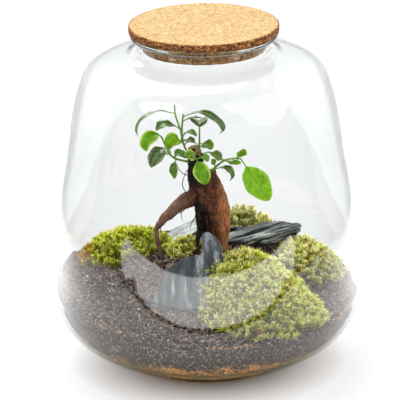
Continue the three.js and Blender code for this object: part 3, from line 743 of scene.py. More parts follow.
def soil_bed():
    def foot(x, y):
        return sand_height(x, y) + GAP

    points, blocks = bed(foot, soil_height, soil_detail, 560, 44, 120)
    radius = from_axis(points)
    at_glass = ease(radius - wall_radius(points[:, 2], 0), -4, -1)
    edge = soil_at_glass(np.arctan2(points[:, 1], points[:, 0]))
    below = edge - points[:, 2] + rough(points, 7, 2, 2) * 1.2
    depth = at_glass * ease(below, 0.6, 2.6)
    crest = ease(at_glass, 0.3, 1) * ease(np.abs(points[:, 2] - edge), 2.4, 0.5)
    crest = crest * ease(rough(points, 16, 2, 40), -0.2, 0.5) * 0.8
    angle = np.degrees(np.arctan2(points[:, 1], points[:, 0]))
    front = ease(np.abs(angle + 84), 38, 16)
    sandy = at_glass * (0.35 + 0.65 * front) * ease(points[:, 2] + rough(points, 9, 3, 44) * 4, 34, 27)
    mesh = new_mesh("soil", points, blocks, {"depth": depth, "crest": crest, "sandy": sandy})
    add_piece("soil", mesh, soil_material(), "soil", "potting_soil")


def random_turns(rng, count):
    """Even random turns, as 3 by 3 matrices."""
    q = unit(rng.normal(size=(count, 4)))
    w, x, y, z = q.T
    rows = [
        [1 - 2 * (y * y + z * z), 2 * (x * y - z * w), 2 * (x * z + y * w)],
        [2 * (x * y + z * w), 1 - 2 * (x * x + z * z), 2 * (y * z - x * w)],
        [2 * (x * z - y * w), 2 * (y * z + x * w), 1 - 2 * (x * x + y * y)],
    ]
    return np.moveaxis(np.array(rows), -1, 0)


def grit_shape():
    """An eight-faced grain of radius 1."""
    points = np.array([(1, 0, 0), (-1, 0, 0), (0, 1, 0), (0, -1, 0), (0, 0, 1), (0, 0, -1)], float)
    faces = [(i, j, k) if side > 0 else (j, i, k) for k, up in ((4, 1), (5, -1))
             for i, j, side in ((0, 2, up), (2, 1, up), (1, 3, up), (3, 0, up))]
    return points, np.array(faces)


CRUMBS = 18000  # before those under the moss and outside the glass are left out
CRUMB_REACH = 106
CHIPS_FROM, GRAINS_FROM = 0.66, 0.93  # shares of the crumbs: clods first, then chips, and pale grains last


def soil_crumbs():
    """Clods, chips of bark and pale grains that lie on the soil."""
    rng = np.random.default_rng(31)
    ball, faces = grit_shape()
    count = CRUMBS
    radius = CRUMB_REACH * np.sqrt(rng.random(count))
    angle = rng.random(count) * 2 * math.pi
    x, y = radius * np.cos(angle), radius * np.sin(angle)
    top = soil_height(x, y) + soil_detail(x, y)
    kind = rng.random(count)
    size = np.where(kind < CHIPS_FROM, rng.uniform(0.5, 1.25, count), rng.uniform(0.5, 1.2, count))
    size = np.where(kind > GRAINS_FROM, rng.uniform(0.35, 0.65, count), size)
    clear = np.ones(count, bool)
    for moss in MOSSES.values():
        clear &= moss_reach(moss, x, y) > 0.9
    clear &= radius < wall_radius(top) - size * 1.3
    x, y, top, kind, size = (v[clear] for v in (x, y, top, kind, size))
    count = len(x)
    stretch = np.ones((count, 3))
    chip = (kind >= CHIPS_FROM) & (kind <= GRAINS_FROM)
    stretch[chip] = rng.uniform((1.1, 0.6, 0.3), (2.0, 1.0, 0.5), (chip.sum(), 3))
    stretch *= size[:, None] * rng.uniform(0.8, 1.2, (count, 3))
    turns = random_turns(rng, count) * stretch[:, None, :]
    places = stacked(x, y, top + size * 0.1)
    points, crumb_faces = copies(ball, faces, turns, places)
    points += (rng.random(points.shape) - 0.5) * np.repeat(size, len(ball))[:, None] * 0.5
    tone = np.where(kind < CHIPS_FROM, rng.uniform(0.0, 0.85, count), rng.uniform(0.4, 1.0, count))
    tone = np.where(kind > GRAINS_FROM, rng.uniform(0.9, 1.0, count), tone)
    mesh = new_mesh("crumbs", points, [crumb_faces], {"tone": np.repeat(tone, len(ball))}, smooth=False)
    add_piece("soil_crumbs", mesh, crumb_material(), "soil")


# ---- Limbs ----


def frames_along(curve):
    """Tangents and two directions square to them, carried along a line of points without twist."""
    tangents = unit(np.gradient(curve, axis=0))
    normal = np.cross(tangents[0], [0, 0, 1.0])
    if np.linalg.norm(normal) < 0.1:
        normal = np.array([1.0, 0, 0])
    normals = []
    for tangent in tangents:
        normal = normal - tangent * np.dot(normal, tangent)
        normal = normal / np.linalg.norm(normal)
        normals.append(normal)
    normals = np.array(normals)
    return tangents, normals, np.cross(tangents, normals)


def tube(points, radii, steps, sides):
    """A closed round tube through points, with a radius at each of them."""
    t = even(steps)
    curve = spline(points, t)
    radius = np.interp(t, even(len(radii)), radii)
    _, normals, across = frames_along(curve)
    angle = full_turn(sides)
    ring = normals[:, None] * np.cos(angle)[None, :, None] + across[:, None] * np.sin(angle)[None, :, None]
    body = curve[:, None] + ring * radius[:, None, None]
    return np.vstack([curve[0], body.reshape(-1, 3), curve[-1]]), wound(steps, sides)


# Each limb, from inside the trunk outwards: points along it, each with the radius there.
WOOD = {
    "stump": [
        (-3, 5, 118, 8.5), (-6, 5, 127, 6.9), (-7.8, 5, 134, 5.7), (-8.4, 5, 143, 5.3),
        (-8.4, 5.2, 150, 5.2), (-9.6, 5.4, 158, 3.2),
    ],
    "right_leg": [
        (3.6, 4, 141.5, 2.2), (3, 4.6, 135, 5.8), (2.6, 5, 128, 8.8), (4.6, 5.6, 119, 9.8),
        (7, 6.2, 110, 9.3), (8.2, 6.8, 100, 8.5), (8.6, 7, 91, 7.3), (8.8, 7, 82, 5.9), (8.8, 7, 72, 4.9),
        (9.2, 7.4, 62, 3.2),
    ],
    "left_leg": [
        (-1.5, 4, 124, 6), (-4.4, 3.4, 114, 4.8), (-5.8, 2.6, 105, 3.7), (-6, 1.8, 96, 3.1),
        (-6.8, 1, 87, 2.9), (-8, 0.4, 78, 2.6), (-9.4, 0, 66, 1.8),
    ],
    "arm": [
        (-2, 5, 122, 6.6), (-9.6, 4, 120.6, 6.2), (-15.4, 2, 118.8, 5.3), (-20.4, 0, 115.8, 4.6),
        (-25, -2, 112, 3.9), (-29.4, -3, 108.6, 3.3), (-33.2, -4, 104.2, 2.8), (-35.8, -4, 99, 2.3),
        (-35.8, -4, 93, 1.9), (-34.2, -3, 86, 1.6), (-32.4, -2, 78, 1.4), (-31.4, -1, 68, 1.2),
    ],
    "back_leg": [
        (1, 8, 124, 6), (0.4, 14, 112, 5.2), (-1, 18, 100, 4), (-2, 20.5, 88, 3.2), (-2.6, 22, 76, 2.6),
        (-3, 23, 66, 1.8),
    ],
}

# Thin dry fibres that stand off the bark.
ROOTLETS = [
    [(-17, 1, 116), (-18.5, 0, 110), (-17.5, 0, 104)],
    [(-14, 0, 117), (-17, -2, 112.5), (-21.5, -3, 111)],
    [(-5.5, 1, 110), (-9, -1, 107), (-11.5, -1.5, 102), (-12, -2, 99)],
    [(-13, 3, 122), (-17.5, 2, 130), (-16, 2, 138), (-14, 3, 142)],
    [(-12.5, 4, 137), (-16.5, 0, 139.5), (-19.5, -2, 143), (-22, -4, 149)],
    [(11, 0, 104), (13.5, -2, 100), (14, -3, 95)],
    [(-30, -4, 108), (-33, -7, 101), (-31, -8, 96)],
]

# The cleft between the legs, cut in and painted dark as shade: at each height, its middle from the axis and
# half its width.
CLEFT = [(130, -6.8, 0.8), (120, -6.4, 1.6), (115, -5.4, 4), (107, -3.8, 6.6), (100, -3.4, 8), (84, -4, 9)]


VOXEL = 0.55


def voxel_mesh(name, points, blocks):
    """One closed skin round shapes that run into each other."""
    source = in_scene(name, new_mesh(name, points, blocks))
    remesh = source.modifiers.new("skin", "REMESH")
    remesh.mode = "VOXEL"
    remesh.voxel_size = VOXEL * MM
    smooth = source.modifiers.new("smooth", "SMOOTH")
    smooth.factor = 0.5
    smooth.iterations = 3
    graph = bpy.context.evaluated_depsgraph_get()
    skin = bpy.data.meshes.new_from_object(source.evaluated_get(graph))
    skin_points = vectors(skin.vertices, "co") / MM
    normals = vectors(skin.vertex_normals, "vector")
    corners = np.zeros(len(skin.polygons) * 4, np.int32)
    skin.loops.foreach_get("vertex_index", corners)
    bpy.data.objects.remove(source)
    bpy.data.meshes.remove(skin)
    return skin_points, normals, corners.reshape(-1, 4)


def trunk():
    limbs = []
    for limb in WOOD.values():
        limb = np.array(limb, float)
        limbs.append(tube(leaning(limb[:, :3]), limb[:, 3], len(limb) * 6, 28))
    points, normals, faces = voxel_mesh("wood", *joined(limbs))
    x, y, z = points.T
    above = ease(z, 84, 92)
    along = points * (1, 1, 0.25)
    across = points * (0.6, 0.6, 1.6)
    relief = rough(along, 2.2, 3, 1) * 0.4 + rough(across, 3.2, 3, 5) * 0.35 + rough(points, 7, 2, 9) * 0.5
    dark_bark_and_shade = ease(z + rough(points, 4, 2, 3) * 1.5, 127, 133) * ease(x, 2.5, -0.5)
    relief = relief + dark_bark_and_shade * rough(points * (1, 1, 0.4), 1.8, 3, 14) * 0.6
    cut = ease(z + noise(points, 2.6, 20) * 2.2, 151.5, 153)
    cut = cut * ease(noise(points, 2.4, 31), -0.35, -0.1)
    down, middle, reach = np.array(CLEFT, float).T
    centre = np.interp(-z, -down, middle)
    width = np.interp(-z, -down, reach)
    # the cleft is cut in, and painted nearly black as shade
    cleft = ease(np.abs(x + rough(points, 3, 2, 17) * 0.8 - centre) / width, 1.2, 0.6) * (y < 5)
    cleft = cleft * ease(z, 131, 126) * ease(z, 80, 88)
    points = points + normals * (relief * (0.4 + 0.6 * above) - np.minimum(width, 2) * 0.8 * cleft)[:, None]
    arm = ease(-x, 9, 16) * ease(z, 124, 120)
    # painted light: the right flank, which the bark paints paler and oranger
    painted_lit_flank = ease(x + rough(points, 5, 2, 19) * 2, 6, 13) * ease(z, 76, 84)
    # painted shade: the back, behind the legs, is painted nearly black like the cleft
    shaded_back = ease(y, 9, 12) * ease(z, 122, 114) * ease(x, 12, 8)
    dark_bark_and_shade = np.maximum(dark_bark_and_shade, np.maximum(cleft, shaded_back) * 0.97)
    marks = {"dark_bark_and_shade": dark_bark_and_shade, "cut": cut, "arm": arm, "painted_lit_flank": painted_lit_flank}
    parts = [(points, [faces])]
    for path in ROOTLETS:
        radii = np.linspace(0.42, 0.16, len(path))
        parts.append(tube(leaning(path), radii, 14, 6))
    skin, blocks = joined(parts)
    extra = len(skin) - len(points)
    marks = {key: np.concatenate([value, np.full(extra, 0.7 if key == "dark_bark_and_shade" else 0)])
             for key, value in marks.items()}
    mesh = new_mesh("trunk", skin, blocks, marks)
    add_piece("trunk", mesh, bark_material(), "bark", "ficus_trunk")


# ---- Leafy stems ----


def leaf(width, facing, tone, *path, fold=0.2, fullness=1.15, pale_edge=0.15):
    """A leaf: its blade's width, the way that it faces, its tone from 0, dark, to 1, bright, the path from
    its stem along the petiole to the blade's foot, middle and tip, how far it folds, how near to its tip it
    is broadest, and how pale its edge is. The tone is partly the leaf's own green and partly painted light:
    bright for leaves lit through from behind, dark for leaves in shade."""
    return path, width, facing, tone, fold, fullness, pale_edge


STEMS = {
    "a": [
        [(-9, 5.6, 147.5), (-11.5, 6, 150), (-15, 6, 155.5), (-17.5, 5, 162.5), (-18.5, 4, 169),
         (-20.5, 2.5, 176), (-22.5, 1, 183), (-23, 0.5, 192)],
        [(-17.4, 5, 162), (-18, 7, 168.5), (-17.5, 8, 175.5), (-17, 8, 181.5)],
    ],
    "b": [[(-7.2, 7.6, 147.5), (-6.5, 11, 153), (-5.5, 11.5, 158), (-5.5, 11, 164), (-5.5, 10.5, 170)]],
    "c": [[(-9.5, 4.5, 146.5), (-12.5, 4, 147.2), (-18, -1, 150), (-23, -5, 153), (-26.5, -7.5, 157),
           (-29, -9, 162.5), (-31, -10, 167.5), (-32.5, -10.5, 171)]],
    "d": [[(2.5, 4, 138), (5, 1, 143.5), (8, -2.5, 147.5), (11.5, -5, 151), (16, -7, 153), (20, -8, 154),
           (23.5, -8.5, 153.5)]],
    "e": [[(-7.5, 4.5, 147), (-7.5, 0.5, 150.5), (-7.5, -3.5, 152)]],
    "f": [[(-7, 8.2, 145), (-4, 13, 148.4), (-3, 16.4, 149)]],
}

LEAVES = {
    "a": [
        leaf(6, (0, 0.1, 1), 0.25, (-22.5, 1, 184), (-26.5, -1, 185.5), (-32, -3, 187.5), (-40, -6, 186),
             (-47, -9, 181.5), (-49.5, -10, 176), (-48.5, -11, 171)),
        leaf(10, (0, -0.3, 0.95), 0.3, (-19.5, 3, 172), (-22, 2, 174), (-27, 1, 176), (-32, 0, 176),
             (-36, -1, 172), fullness=1.5),
        leaf(8.5, (0, -0.15, 1), 0.2, (-17, 8, 179), (-13.5, 6, 181.5), (-9.5, 4, 183.5), (-3, 1, 185),
             (4, -2, 182), (9, -4, 178), (10.5, -5, 174), (8.5, -6, 171)),
        leaf(8, (0, 0.33, 0.94), 0.3, (-17.5, 8, 176), (-14.5, 9, 177), (-11.5, 11, 177.5),
             (-8, 12.5, 177.2), (-4, 14, 176.4)),
        leaf(6.5, (0, -0.2, 1), 0.4, (-17.5, 6, 165), (-16, 3, 168), (-14.5, 0, 170.5), (-11, -3, 171.5),
             (-7.5, -5, 169)),
        leaf(6.5, (0.1, -0.45, 0.9), 0.15, (-16, 5.5, 159), (-15, 3, 162), (-13.5, 1, 164),
             (-11.5, 0, 164.5), (-9, -2, 163.5)),
        leaf(10.5, (0.2, -0.8, 0.6), 0.95, (-17, 5, 161), (-19.5, 3, 163), (-21, 1, 165), (-24, -1, 165.5),
             (-26.5, -2.5, 163), (-27.5, -3, 158), pale_edge=0.9),
    ],
    "b": [
        leaf(13, (0, 0, 1), 0.15, (-5.5, 10.5, 169.5), (-5.5, 11, 170.5), (-5.5, 13, 172.5), (-6, 18, 173),
             (-6, 24, 171.5), fold=0.35),
        leaf(9.5, (0.1, -0.5, 0.85), 0.5, (-5.5, 11.5, 155.5), (-4.5, 8, 157.5), (-2, 6, 159.5),
             (1, 4, 159.5), (4, 2, 158)),
        leaf(9, (0, 0.3, 1), 0.5, (-6, 12, 155.5), (-8, 16, 157), (-12.5, 20, 157.5), (-16.5, 24, 156.5),
             (-21, 27, 152)),
        leaf(9.5, (0.2, 0.3, 1), 0.4, (-6, 12, 154), (-3, 20, 154.5), (-0.5, 26, 152), (2.5, 31, 147)),
    ],
    "c": [
        leaf(11, (-0.2, -0.75, 0.6), 0.85, (-31, -10, 168.5), (-32.5, -10.5, 171), (-36, -12, 172.5),
             (-40, -15, 171.5), (-43, -18, 168), (-42.5, -20, 163), pale_edge=0.9),
        leaf(12, (-0.3, -0.8, 0.5), 0.05, (-29, -9, 162.5), (-30, -11, 162.5), (-33, -14, 161.5),
             (-36.5, -18, 157.5), (-39.5, -21, 151.5)),
        leaf(7, (-0.5, -0.85, 0.1), 0.5, (-22, -5, 152.5), (-22.5, -7, 151), (-23.5, -8.5, 148.5),
             (-23.5, -10, 144.5), (-23, -10.5, 139.5)),
        leaf(9, (-0.3, 0.3, 1), 0.5, (-24.5, -6, 154.5), (-26, -1, 154), (-29.5, 3, 154), (-33.5, 8, 151)),
    ],
    "d": [
        leaf(19, (0.35, -0.85, 0.35), 0.95, (23.5, -8.5, 153.5), (27, -10, 148.5), (30, -11, 143.5),
             (35.5, -13.5, 136.5), (43.5, -17, 125.8), fold=0.12, fullness=1.4),
        leaf(7, (0.5, -0.6, 0.5), 0.35, (10.5, -4.5, 150.5), (10.5, -5, 151.5), (9, -6, 154),
             (6.5, -8, 156.5), (3, -10, 157.5)),
        leaf(4.5, (0.2, -0.9, 0.3), 0.7, (6, -0.5, 145), (5, -3, 147.5), (4.5, -5, 150), (3, -7, 153)),
        leaf(8, (0.4, -0.9, 0.1), 0.7, (20, -8, 154), (21, -9, 155), (23, -10.5, 157.5), (24.5, -12, 160),
             (26, -13, 162.5), pale_edge=0.9),
        leaf(6.5, (0, -0.8, 0.6), 0.65, (21, -8, 154), (21, -9.5, 153), (20.5, -11.5, 152.5),
             (19.5, -14, 151)),
        leaf(6.5, (0.5, -0.5, 0.7), 0.35, (4.6, 1.6, 142.8), (7.2, 2.4, 142.9), (10, 2, 143.6),
             (14, 1, 143.5), (16.5, 0, 141.5), (17.5, -1, 138.5), (16, -2, 135)),
        leaf(8.5, (0.2, 0.3, 1), 0.5, (12.5, -5.5, 151.5), (13.5, -3, 150), (15, 4, 147.5),
             (17.5, 10, 143)),
    ],
    "e": [
        leaf(12, (-0.1, -1, 0.25), 0.8, (-7.5, -3.5, 152), (-7, -7, 151), (-5.5, -10, 148),
             (-3, -12, 142.5), (-1, -11.5, 135.5), pale_edge=0.9),
        leaf(7, (-0.1, -0.6, 0.8), 0.3, (-7.5, -2.5, 151.6), (-12.5, -7, 153.5), (-16.5, -10, 157),
             (-20.5, -12, 159), (-23, -13, 156.5)),
        leaf(8, (0.2, -0.8, 0.6), 0.6, (-7.5, -2.5, 151.6), (-8.5, -5, 153), (-10, -7, 155),
             (-13, -9, 156.5), (-16, -11, 155.5), pale_edge=0.9),
        leaf(6, (0.3, -0.7, 0.7), 0.5, (-7.5, -3, 151.8), (-4.5, -7, 154), (-2.5, -8.5, 155.5),
             (-1, -9.5, 154.5), (0.5, -10.5, 152)),
    ],
    "f": [
        leaf(10.5, (-0.2, 0.6, 0.8), 0.5, (-3.2, 15.6, 148.9), (-5, 20, 149.6), (-8.6, 26, 147.6),
             (-12, 31, 140.6)),
        leaf(9.5, (0.3, 0.6, 0.8), 0.4, (-3.2, 15.8, 149), (0.4, 18.6, 149.4), (5, 23, 147), (8, 27, 140)),
    ],
}

BLADE_ROWS = 44  # along a blade
BLADE_COLUMNS = 21  # across it
VEIN_PAIRS = 7


def blade(path, width, facing, fold, fullness, wave):
    """A leaf blade as a closed thin form: its points, its face blocks and its marks under, vein and rim."""
    rows, columns = BLADE_ROWS, BLADE_COLUMNS
    t = even(rows)
    midrib = spline(path, t)
    tangents = unit(np.gradient(midrib, axis=0))
    facing = unit(np.array(facing, float))
    axis = unit(np.cross(tangents[rows // 2], facing))
    side = unit(axis - tangents * (tangents @ axis)[:, None])
    up = np.cross(side, tangents)[:, None]
    blunt = 0.72 - 0.6 * (fullness - 1.15)
    half = np.sin(math.pi * np.minimum(t, 0.9995) ** fullness) ** blunt * width / 2
    half = np.maximum(half, PETIOLE_RADIUS * 0.6 * (1 - t)) + 0.02
    half, t = half[:, None], t[:, None]
    across = np.linspace(-1, 1, columns)
    u = np.abs(across)
    lift = 1.7 * fold * (np.sqrt(u**2 + 0.012) - 0.11) * half
    ripple = 0.1 * half * u**2 * np.sin(t * 15 + across * 1.3 + wave)
    curl = -0.16 * half * u**4
    raised = lift + ripple + curl
    middle = midrib[:, None] + side[:, None] * (across * half)[..., None] + up * raised[..., None]
    taper = np.sqrt(np.maximum(0, 1 - u**6)) * np.minimum(1, half / 0.8)
    rib = np.exp(-((across / 0.07) ** 2)) * (1 - t) ** 0.5
    top = middle + up * (taper * LEAF_THICKNESS / 2 - rib * 0.12 * taper)[..., None]
    bottom = middle - up * (taper * LEAF_THICKNESS / 2 + rib * 0.3 * taper)[..., None]
    upper = grid_faces(rows, columns)
    lower = upper[:, ::-1] + rows * columns
    ring = np.concatenate([
        np.arange(columns), np.arange(1, rows) * columns + columns - 1,
        (rows - 1) * columns + np.arange(columns - 2, -1, -1), np.arange(rows - 2, 0, -1) * columns,
    ])
    ahead = np.roll(ring, -1)
    rim = stacked(ahead, ring, ring + rows * columns, ahead + rows * columns)
    points = np.concatenate([top.reshape(-1, 3), bottom.reshape(-1, 3)])
    phase = (t - 0.32 * u * (1 - 0.4 * t)) * VEIN_PAIRS
    lateral = ease(np.abs(phase - np.round(phase)), 0.16, 0.02) * ease(u, 1.0, 0.75) * 0.6
    vein = np.maximum(lateral, np.exp(-((across / 0.06) ** 2)))
    under = np.repeat([0.0, 1.0], rows * columns)
    border = np.tile(ease(u, 0.62, 0.95), rows * 2)
    return points, [upper, lower, rim], under, np.tile(vein.ravel(), 2), border


def leafy_stem(letter, material):
    parts, marks = [], {"tone": [], "under": [], "vein": [], "rim": []}

    def add(part, tone, under=1.0, vein=0.0, rim=0.0):
        parts.append(part)
        for key, value in (("tone", tone), ("under", under), ("vein", vein), ("rim", rim)):
            marks[key].append(np.zeros(len(part[0])) + value)

    for stem in STEMS[letter]:
        radii = np.linspace(STEM_RADIUS, STEM_RADIUS * (1 - STEM_TAPER), len(stem))
        add(tube(leaning(stem), radii, len(stem) * 7, 12), 0.5)
    for i, (path, width, facing, tone, fold, fullness, pale_edge) in enumerate(LEAVES[letter]):
        path = leaning(path)
        foot = path[1] + unit(path[2] - path[1]) * 1.2
        petiole = np.vstack([path[0], path[1], foot])
        add(tube(petiole, [PETIOLE_RADIUS, PETIOLE_RADIUS * 0.9, PETIOLE_RADIUS * 0.5], 16, 10), 0.55)
        points, blocks, under, vein, rim = blade(path[1:], width, facing, fold, fullness, i * 1.7)
        add((points, blocks), tone, under, vein, rim * pale_edge)
    name = f"leafy_stem_{letter}"
    mesh = new_mesh(name, *joined(parts), {key: np.concatenate(v) for key, v in marks.items()})
    add_piece(name, mesh, material, "leaf", f"ficus_shoot_{letter}")


# ---- Slates ----

SLATES = {
    "slate_front": dict(
        outline=[(-41, 2), (-22, -4), (4, -6), (13, 0), (13.4, 22), (12.6, 40), (11, 50), (7, 57), (1, 62.4),
                 (-3, 61), (-4.4, 57), (-3.2, 50), (-6, 43), (-16, 41), (-28, 32)],
        kernel=(2, 30), thickness=8, turn=(38, 0, 0), place=(0, -56, 58), seed=11, pitch=2.1, ledge=0.9,
        streaks=(0.55, 0.07, 0.3), tones=[(14, 17, 20), (34, 38, 42), (62, 67, 71), (128, 133, 136)],
    ),
    "slate_right": dict(
        outline=[(-8, -12), (20, -13), (48, -12), (60, -8), (64, -2), (62, 5), (52, 10), (30, 12), (4, 11),
                 (-8, 6)],
        kernel=(28, 0), thickness=11, turn=(8, -8, 4), place=(8, 30, 72.6), seed=5, pitch=2.7, ledge=3.0,
        streaks=(0.1, 0.5, 0.9), tones=[(20, 23, 26), (60, 65, 67), (128, 134, 133), (214, 216, 212)],
        layers=(-0.22, 0.75, 1), undercut=4.5, drop=2.6,
    ),
    "slate_back_left": dict(
        outline=[(-24, -8), (-6, -11), (14, -9), (20, 0), (16, 9), (-4, 10), (-20, 6)],
        kernel=(-2, 0), thickness=9, turn=(14, -26, 8), place=(-16, 42, 74), seed=8, pitch=3.2, ledge=0.9,
        streaks=(0.2, 0.5, 0.9), tones=[(92, 96, 98), (134, 139, 140), (162, 166, 165), (192, 194, 191)],
        undercut=1.5, slot="pale_slate",
    ),
}


def slab(outline, kernel, thickness, undercut, drop, seed):
    """A flat stone between two faces, with a chipped edge that falls back by undercut towards its lower
    face. Its upper face comes down by drop at its far end."""
    sides = 240
    kernel = np.array(kernel, float)
    corners = np.vstack([outline, outline[:1]]).astype(float)
    length = np.concatenate([[0], np.cumsum(np.linalg.norm(np.diff(corners, axis=0), axis=1))])
    along = np.linspace(0, length[-1], sides, endpoint=False)
    edge = stacked(*(np.interp(along, length, corner) for corner in corners.T))
    out = edge - kernel
    reach = np.linalg.norm(out, axis=1)
    out = out / reach[:, None]
    heights = even(9)
    rings = [(0.5, 0), *((1, height) for height in heights), (0.5, 1)]
    far = corners[:, 0].max()
    rows = []
    for share, height in rings:
        chip = rough(np.column_stack([edge, np.full(sides, height * thickness)]), 8, 3, seed)
        fall = 0.9 * (2 * height - 1) ** 6 + undercut * (1 - height) ** 1.5
        flat = kernel + out * ((reach - 0.5 - 0.5 * (1 + chip) - fall) * share)[:, None]
        top = thickness - drop * ease(flat[:, 0], far * 0.3, far)
        rows.append(np.column_stack([flat, top * height]))
    return np.vstack([[*kernel, 0], np.concatenate(rows), [*kernel, thickness]]), wound(len(rows), sides)


def slate(
    name, outline, kernel, thickness, turn, place, seed, pitch, ledge, streaks, tones,
    layers=(0, 0, 1), undercut=0, drop=0, slot="dark_slate",
):
    """A slab that splits into thin layers, each broken off along its own line, with cracks between that are
    cut in and painted near black as shade.
    """
    points, normals, faces = voxel_mesh(name, *slab(outline, kernel, thickness, undercut, drop, seed))
    rng = np.random.default_rng(seed)
    normal = unit(np.array(layers, float))
    level = points @ normal
    wavy = rough(points * (0.35, 0.7, 0.7), 9, 3, seed + 1) * 0.22
    level = level / pitch + wavy
    layer = np.floor(level).astype(int)
    draws = rng.random((64, 3))
    depth = draws[layer % 64, 0] ** 1.5
    broken = 0.5 + 0.7 * noise(points * (0.5, 1, 1) + layer[:, None] * 9.7, 11, seed + 2)
    step = np.clip(depth * broken * 1.6, 0, 1) * ledge
    nearest = np.round(level).astype(int)
    gape = 0.6 + 0.9 * noise(points + nearest[:, None] * 5.3, 14, seed)
    opening = 0.1 + 0.4 * draws[nearest % 64, 1] * gape
    # crack: the cracks between layers, cut in and painted near black as shade
    crack = ease(np.abs(level - nearest), opening, opening * 0.4)
    side = 1 - np.abs(normals @ normal)
    crack = crack * ease(side, 0.02, 0.14)
    streak = rough(points * streaks, 1.6, 4, seed + 3)
    fine = rough(points, 1.3, 2, seed + 4)
    inward = step + crack * 0.32 * pitch + 0.16 * (streak + 1) + 0.08 * (fine + 1)
    points = points - normals * inward[:, None]
    facet = rough(points * (0.6, 0.35, 1), 13, 2, seed + 6)
    tone = 0.45 + 0.16 * facet + 0.9 * (draws[layer % 64, 2] - 0.5) * side + 0.4 * streak + 0.1 * fine
    # edge: the layers' outer edges, where a painted highlight goes
    edge = ease(depth * broken, 0.12, 0.0) * ease(side, 0.2, 0.7)
    marks = {"crack": np.clip(crack * 1.3, 0, 1), "tone": np.clip(tone, 0, 1), "edge": edge}
    x, y, z = (math.radians(v) for v in turn)
    spin = np.array(Matrix.Rotation(z, 3, "Z") @ Matrix.Rotation(y, 3, "Y") @ Matrix.Rotation(x, 3, "X"))
    points = points @ spin.T + np.array(place, float)
    mesh = new_mesh(f"{name}_split", points, [faces], marks)
    add_piece(f"{name}_split", mesh, slate_material(f"{name}_stone", tones), slot, name)


# ---- Moss ----

Moss = namedtuple("Moss", "place size turn thickness waves seed bright tall upright")
# bright shifts a cushion's colour; the back cushion's high value is partly painted light, as if lit from
# behind
MOSSES = {
    "moss_left": Moss((-60, 32), (29, 34), 0.1, 15, 1.2, 21, -0.34, 3.4, 0.5),
    "moss_centre": Moss((-16, 7), (12, 11), 0.2, 7, 0.4, 22, 0.1, 2.8, 0.4),
    "moss_front_right": Moss((37, -50), (37, 46), 0.4, 19, 2.1, 23, 0.12, 3.6, 0.35),
    "moss_right": Moss((74, 18), (21, 27), 0.2, 16, 0.9, 24, 0.4, 3.6, 0.4),
    "moss_back": Moss((28, 58), (24, 15), 0.1, 21, 1.7, 25, 0.6, 4.6, 0.9),
}


def moss_reach(moss, x, y):
    """1 on the cushion's outline, less inside it."""
    dx, dy = x - moss.place[0], y - moss.place[1]
    c, s = math.cos(moss.turn), math.sin(moss.turn)
    u = (dx * c + dy * s) / moss.size[0]
    v = (dy * c - dx * s) / moss.size[1]
    angle = np.arctan2(v, u)
    waves = moss.waves
    return np.hypot(u, v) / (1 + 0.1 * np.sin(2 * angle + waves) + 0.07 * np.sin(3 * angle + 2 * waves))


def moss_top(moss, x, y):
    """The cushion's smooth top."""
    reach = moss_reach(moss, x, y)
    crown = moss.thickness * (1 - np.minimum(reach, 1.3) ** 2.6)
    return soil_height(x, y) + crown + 0.8 * np.sin(x * 0.35) * np.sin(y * 0.3)


def moss_height(moss, x, y):
    """The cushion's lumpy top, which its shoots stand on."""
    return moss_top(moss, x, y) + rough(on_plane(x, y), 7, 2, moss.seed) * 1.3


def moss_normal(moss, x, y):
    d = 0.7
    slope_x = (moss_top(moss, x + d, y) - moss_top(moss, x - d, y)) / (2 * d)
    slope_y = (moss_top(moss, x, y + d) - moss_top(moss, x, y - d)) / (2 * d)
    return unit(stacked(-slope_x, -slope_y, np.ones_like(slope_x)))


SHOOT_PITCH = 2.35  # between neighbouring moss shoots
CORE_DEPTH = 1.1  # of a cushion's dense inside below its shoots' feet
# Up a moss shoot: where each ring of leaflets sits, how many it has, how far they spread, and their length.
WHORLS = [(0.0, 4, 1.4, 1.0), (0.4, 5, 1.0, 1.05), (0.75, 6, 0.6, 1.0), (1.0, 4, 0.25, 0.9)]
TO_TIP = np.array([0.0, 0.5, 0.5, 0.4, 1.0])  # how far up its leaflet each of the five points counts


def moss_shoots(moss, rng):
    """Where the shoots of a cushion stand, and the way that the cushion's surface faces there."""
    span = max(moss.size) * 1.35
    steps = np.arange(-span, span, SHOOT_PITCH)
    x, y = (v.ravel() for v in np.meshgrid(steps, steps))
    x = x + moss.place[0] + rng.uniform(-1.1, 1.1, len(x))
    y = y + moss.place[1] + rng.uniform(-1.1, 1.1, len(y))
    top = moss_height(moss, x, y)
    room = wall_radius(top) - np.hypot(x, y)
    kept = (moss_reach(moss, x, y) < 1.04) & (room > 0.6)
    x, y, top = x[kept], y[kept], top[kept]
    return stacked(x, y, top), moss_normal(moss, x, y)


def leaflets(starts, ways, faces_up, length, width):
    """Pointed leaflets with a keel below, each a closed form of five points."""
    side = unit(np.cross(ways, faces_up))
    above = np.cross(side, ways)
    middle = starts + ways * (length * 0.42)[:, None]
    tip = starts + ways * length[:, None] - above * (length * 0.12)[:, None]
    half = (width / 2)[:, None]
    keel = middle - above * half * 0.5
    points = np.stack([starts, middle + side * half, middle - side * half, keel, tip], 1)
    corners = np.array([(2, 1, 4), (3, 2, 4), (1, 3, 4), (1, 2, 0), (2, 3, 0), (3, 1, 0)])
    return points.reshape(-1, 3), repeated(corners, len(TO_TIP), len(starts))


def kept_in_jar(points):
    """Points that would reach into the glass, laid against its inside."""
    away = np.maximum(from_axis(points), 1e-6)
    fit = np.minimum(1, wall_radius(points[:, 2]) / away)
    return points * np.column_stack([fit, fit, np.ones_like(fit)])


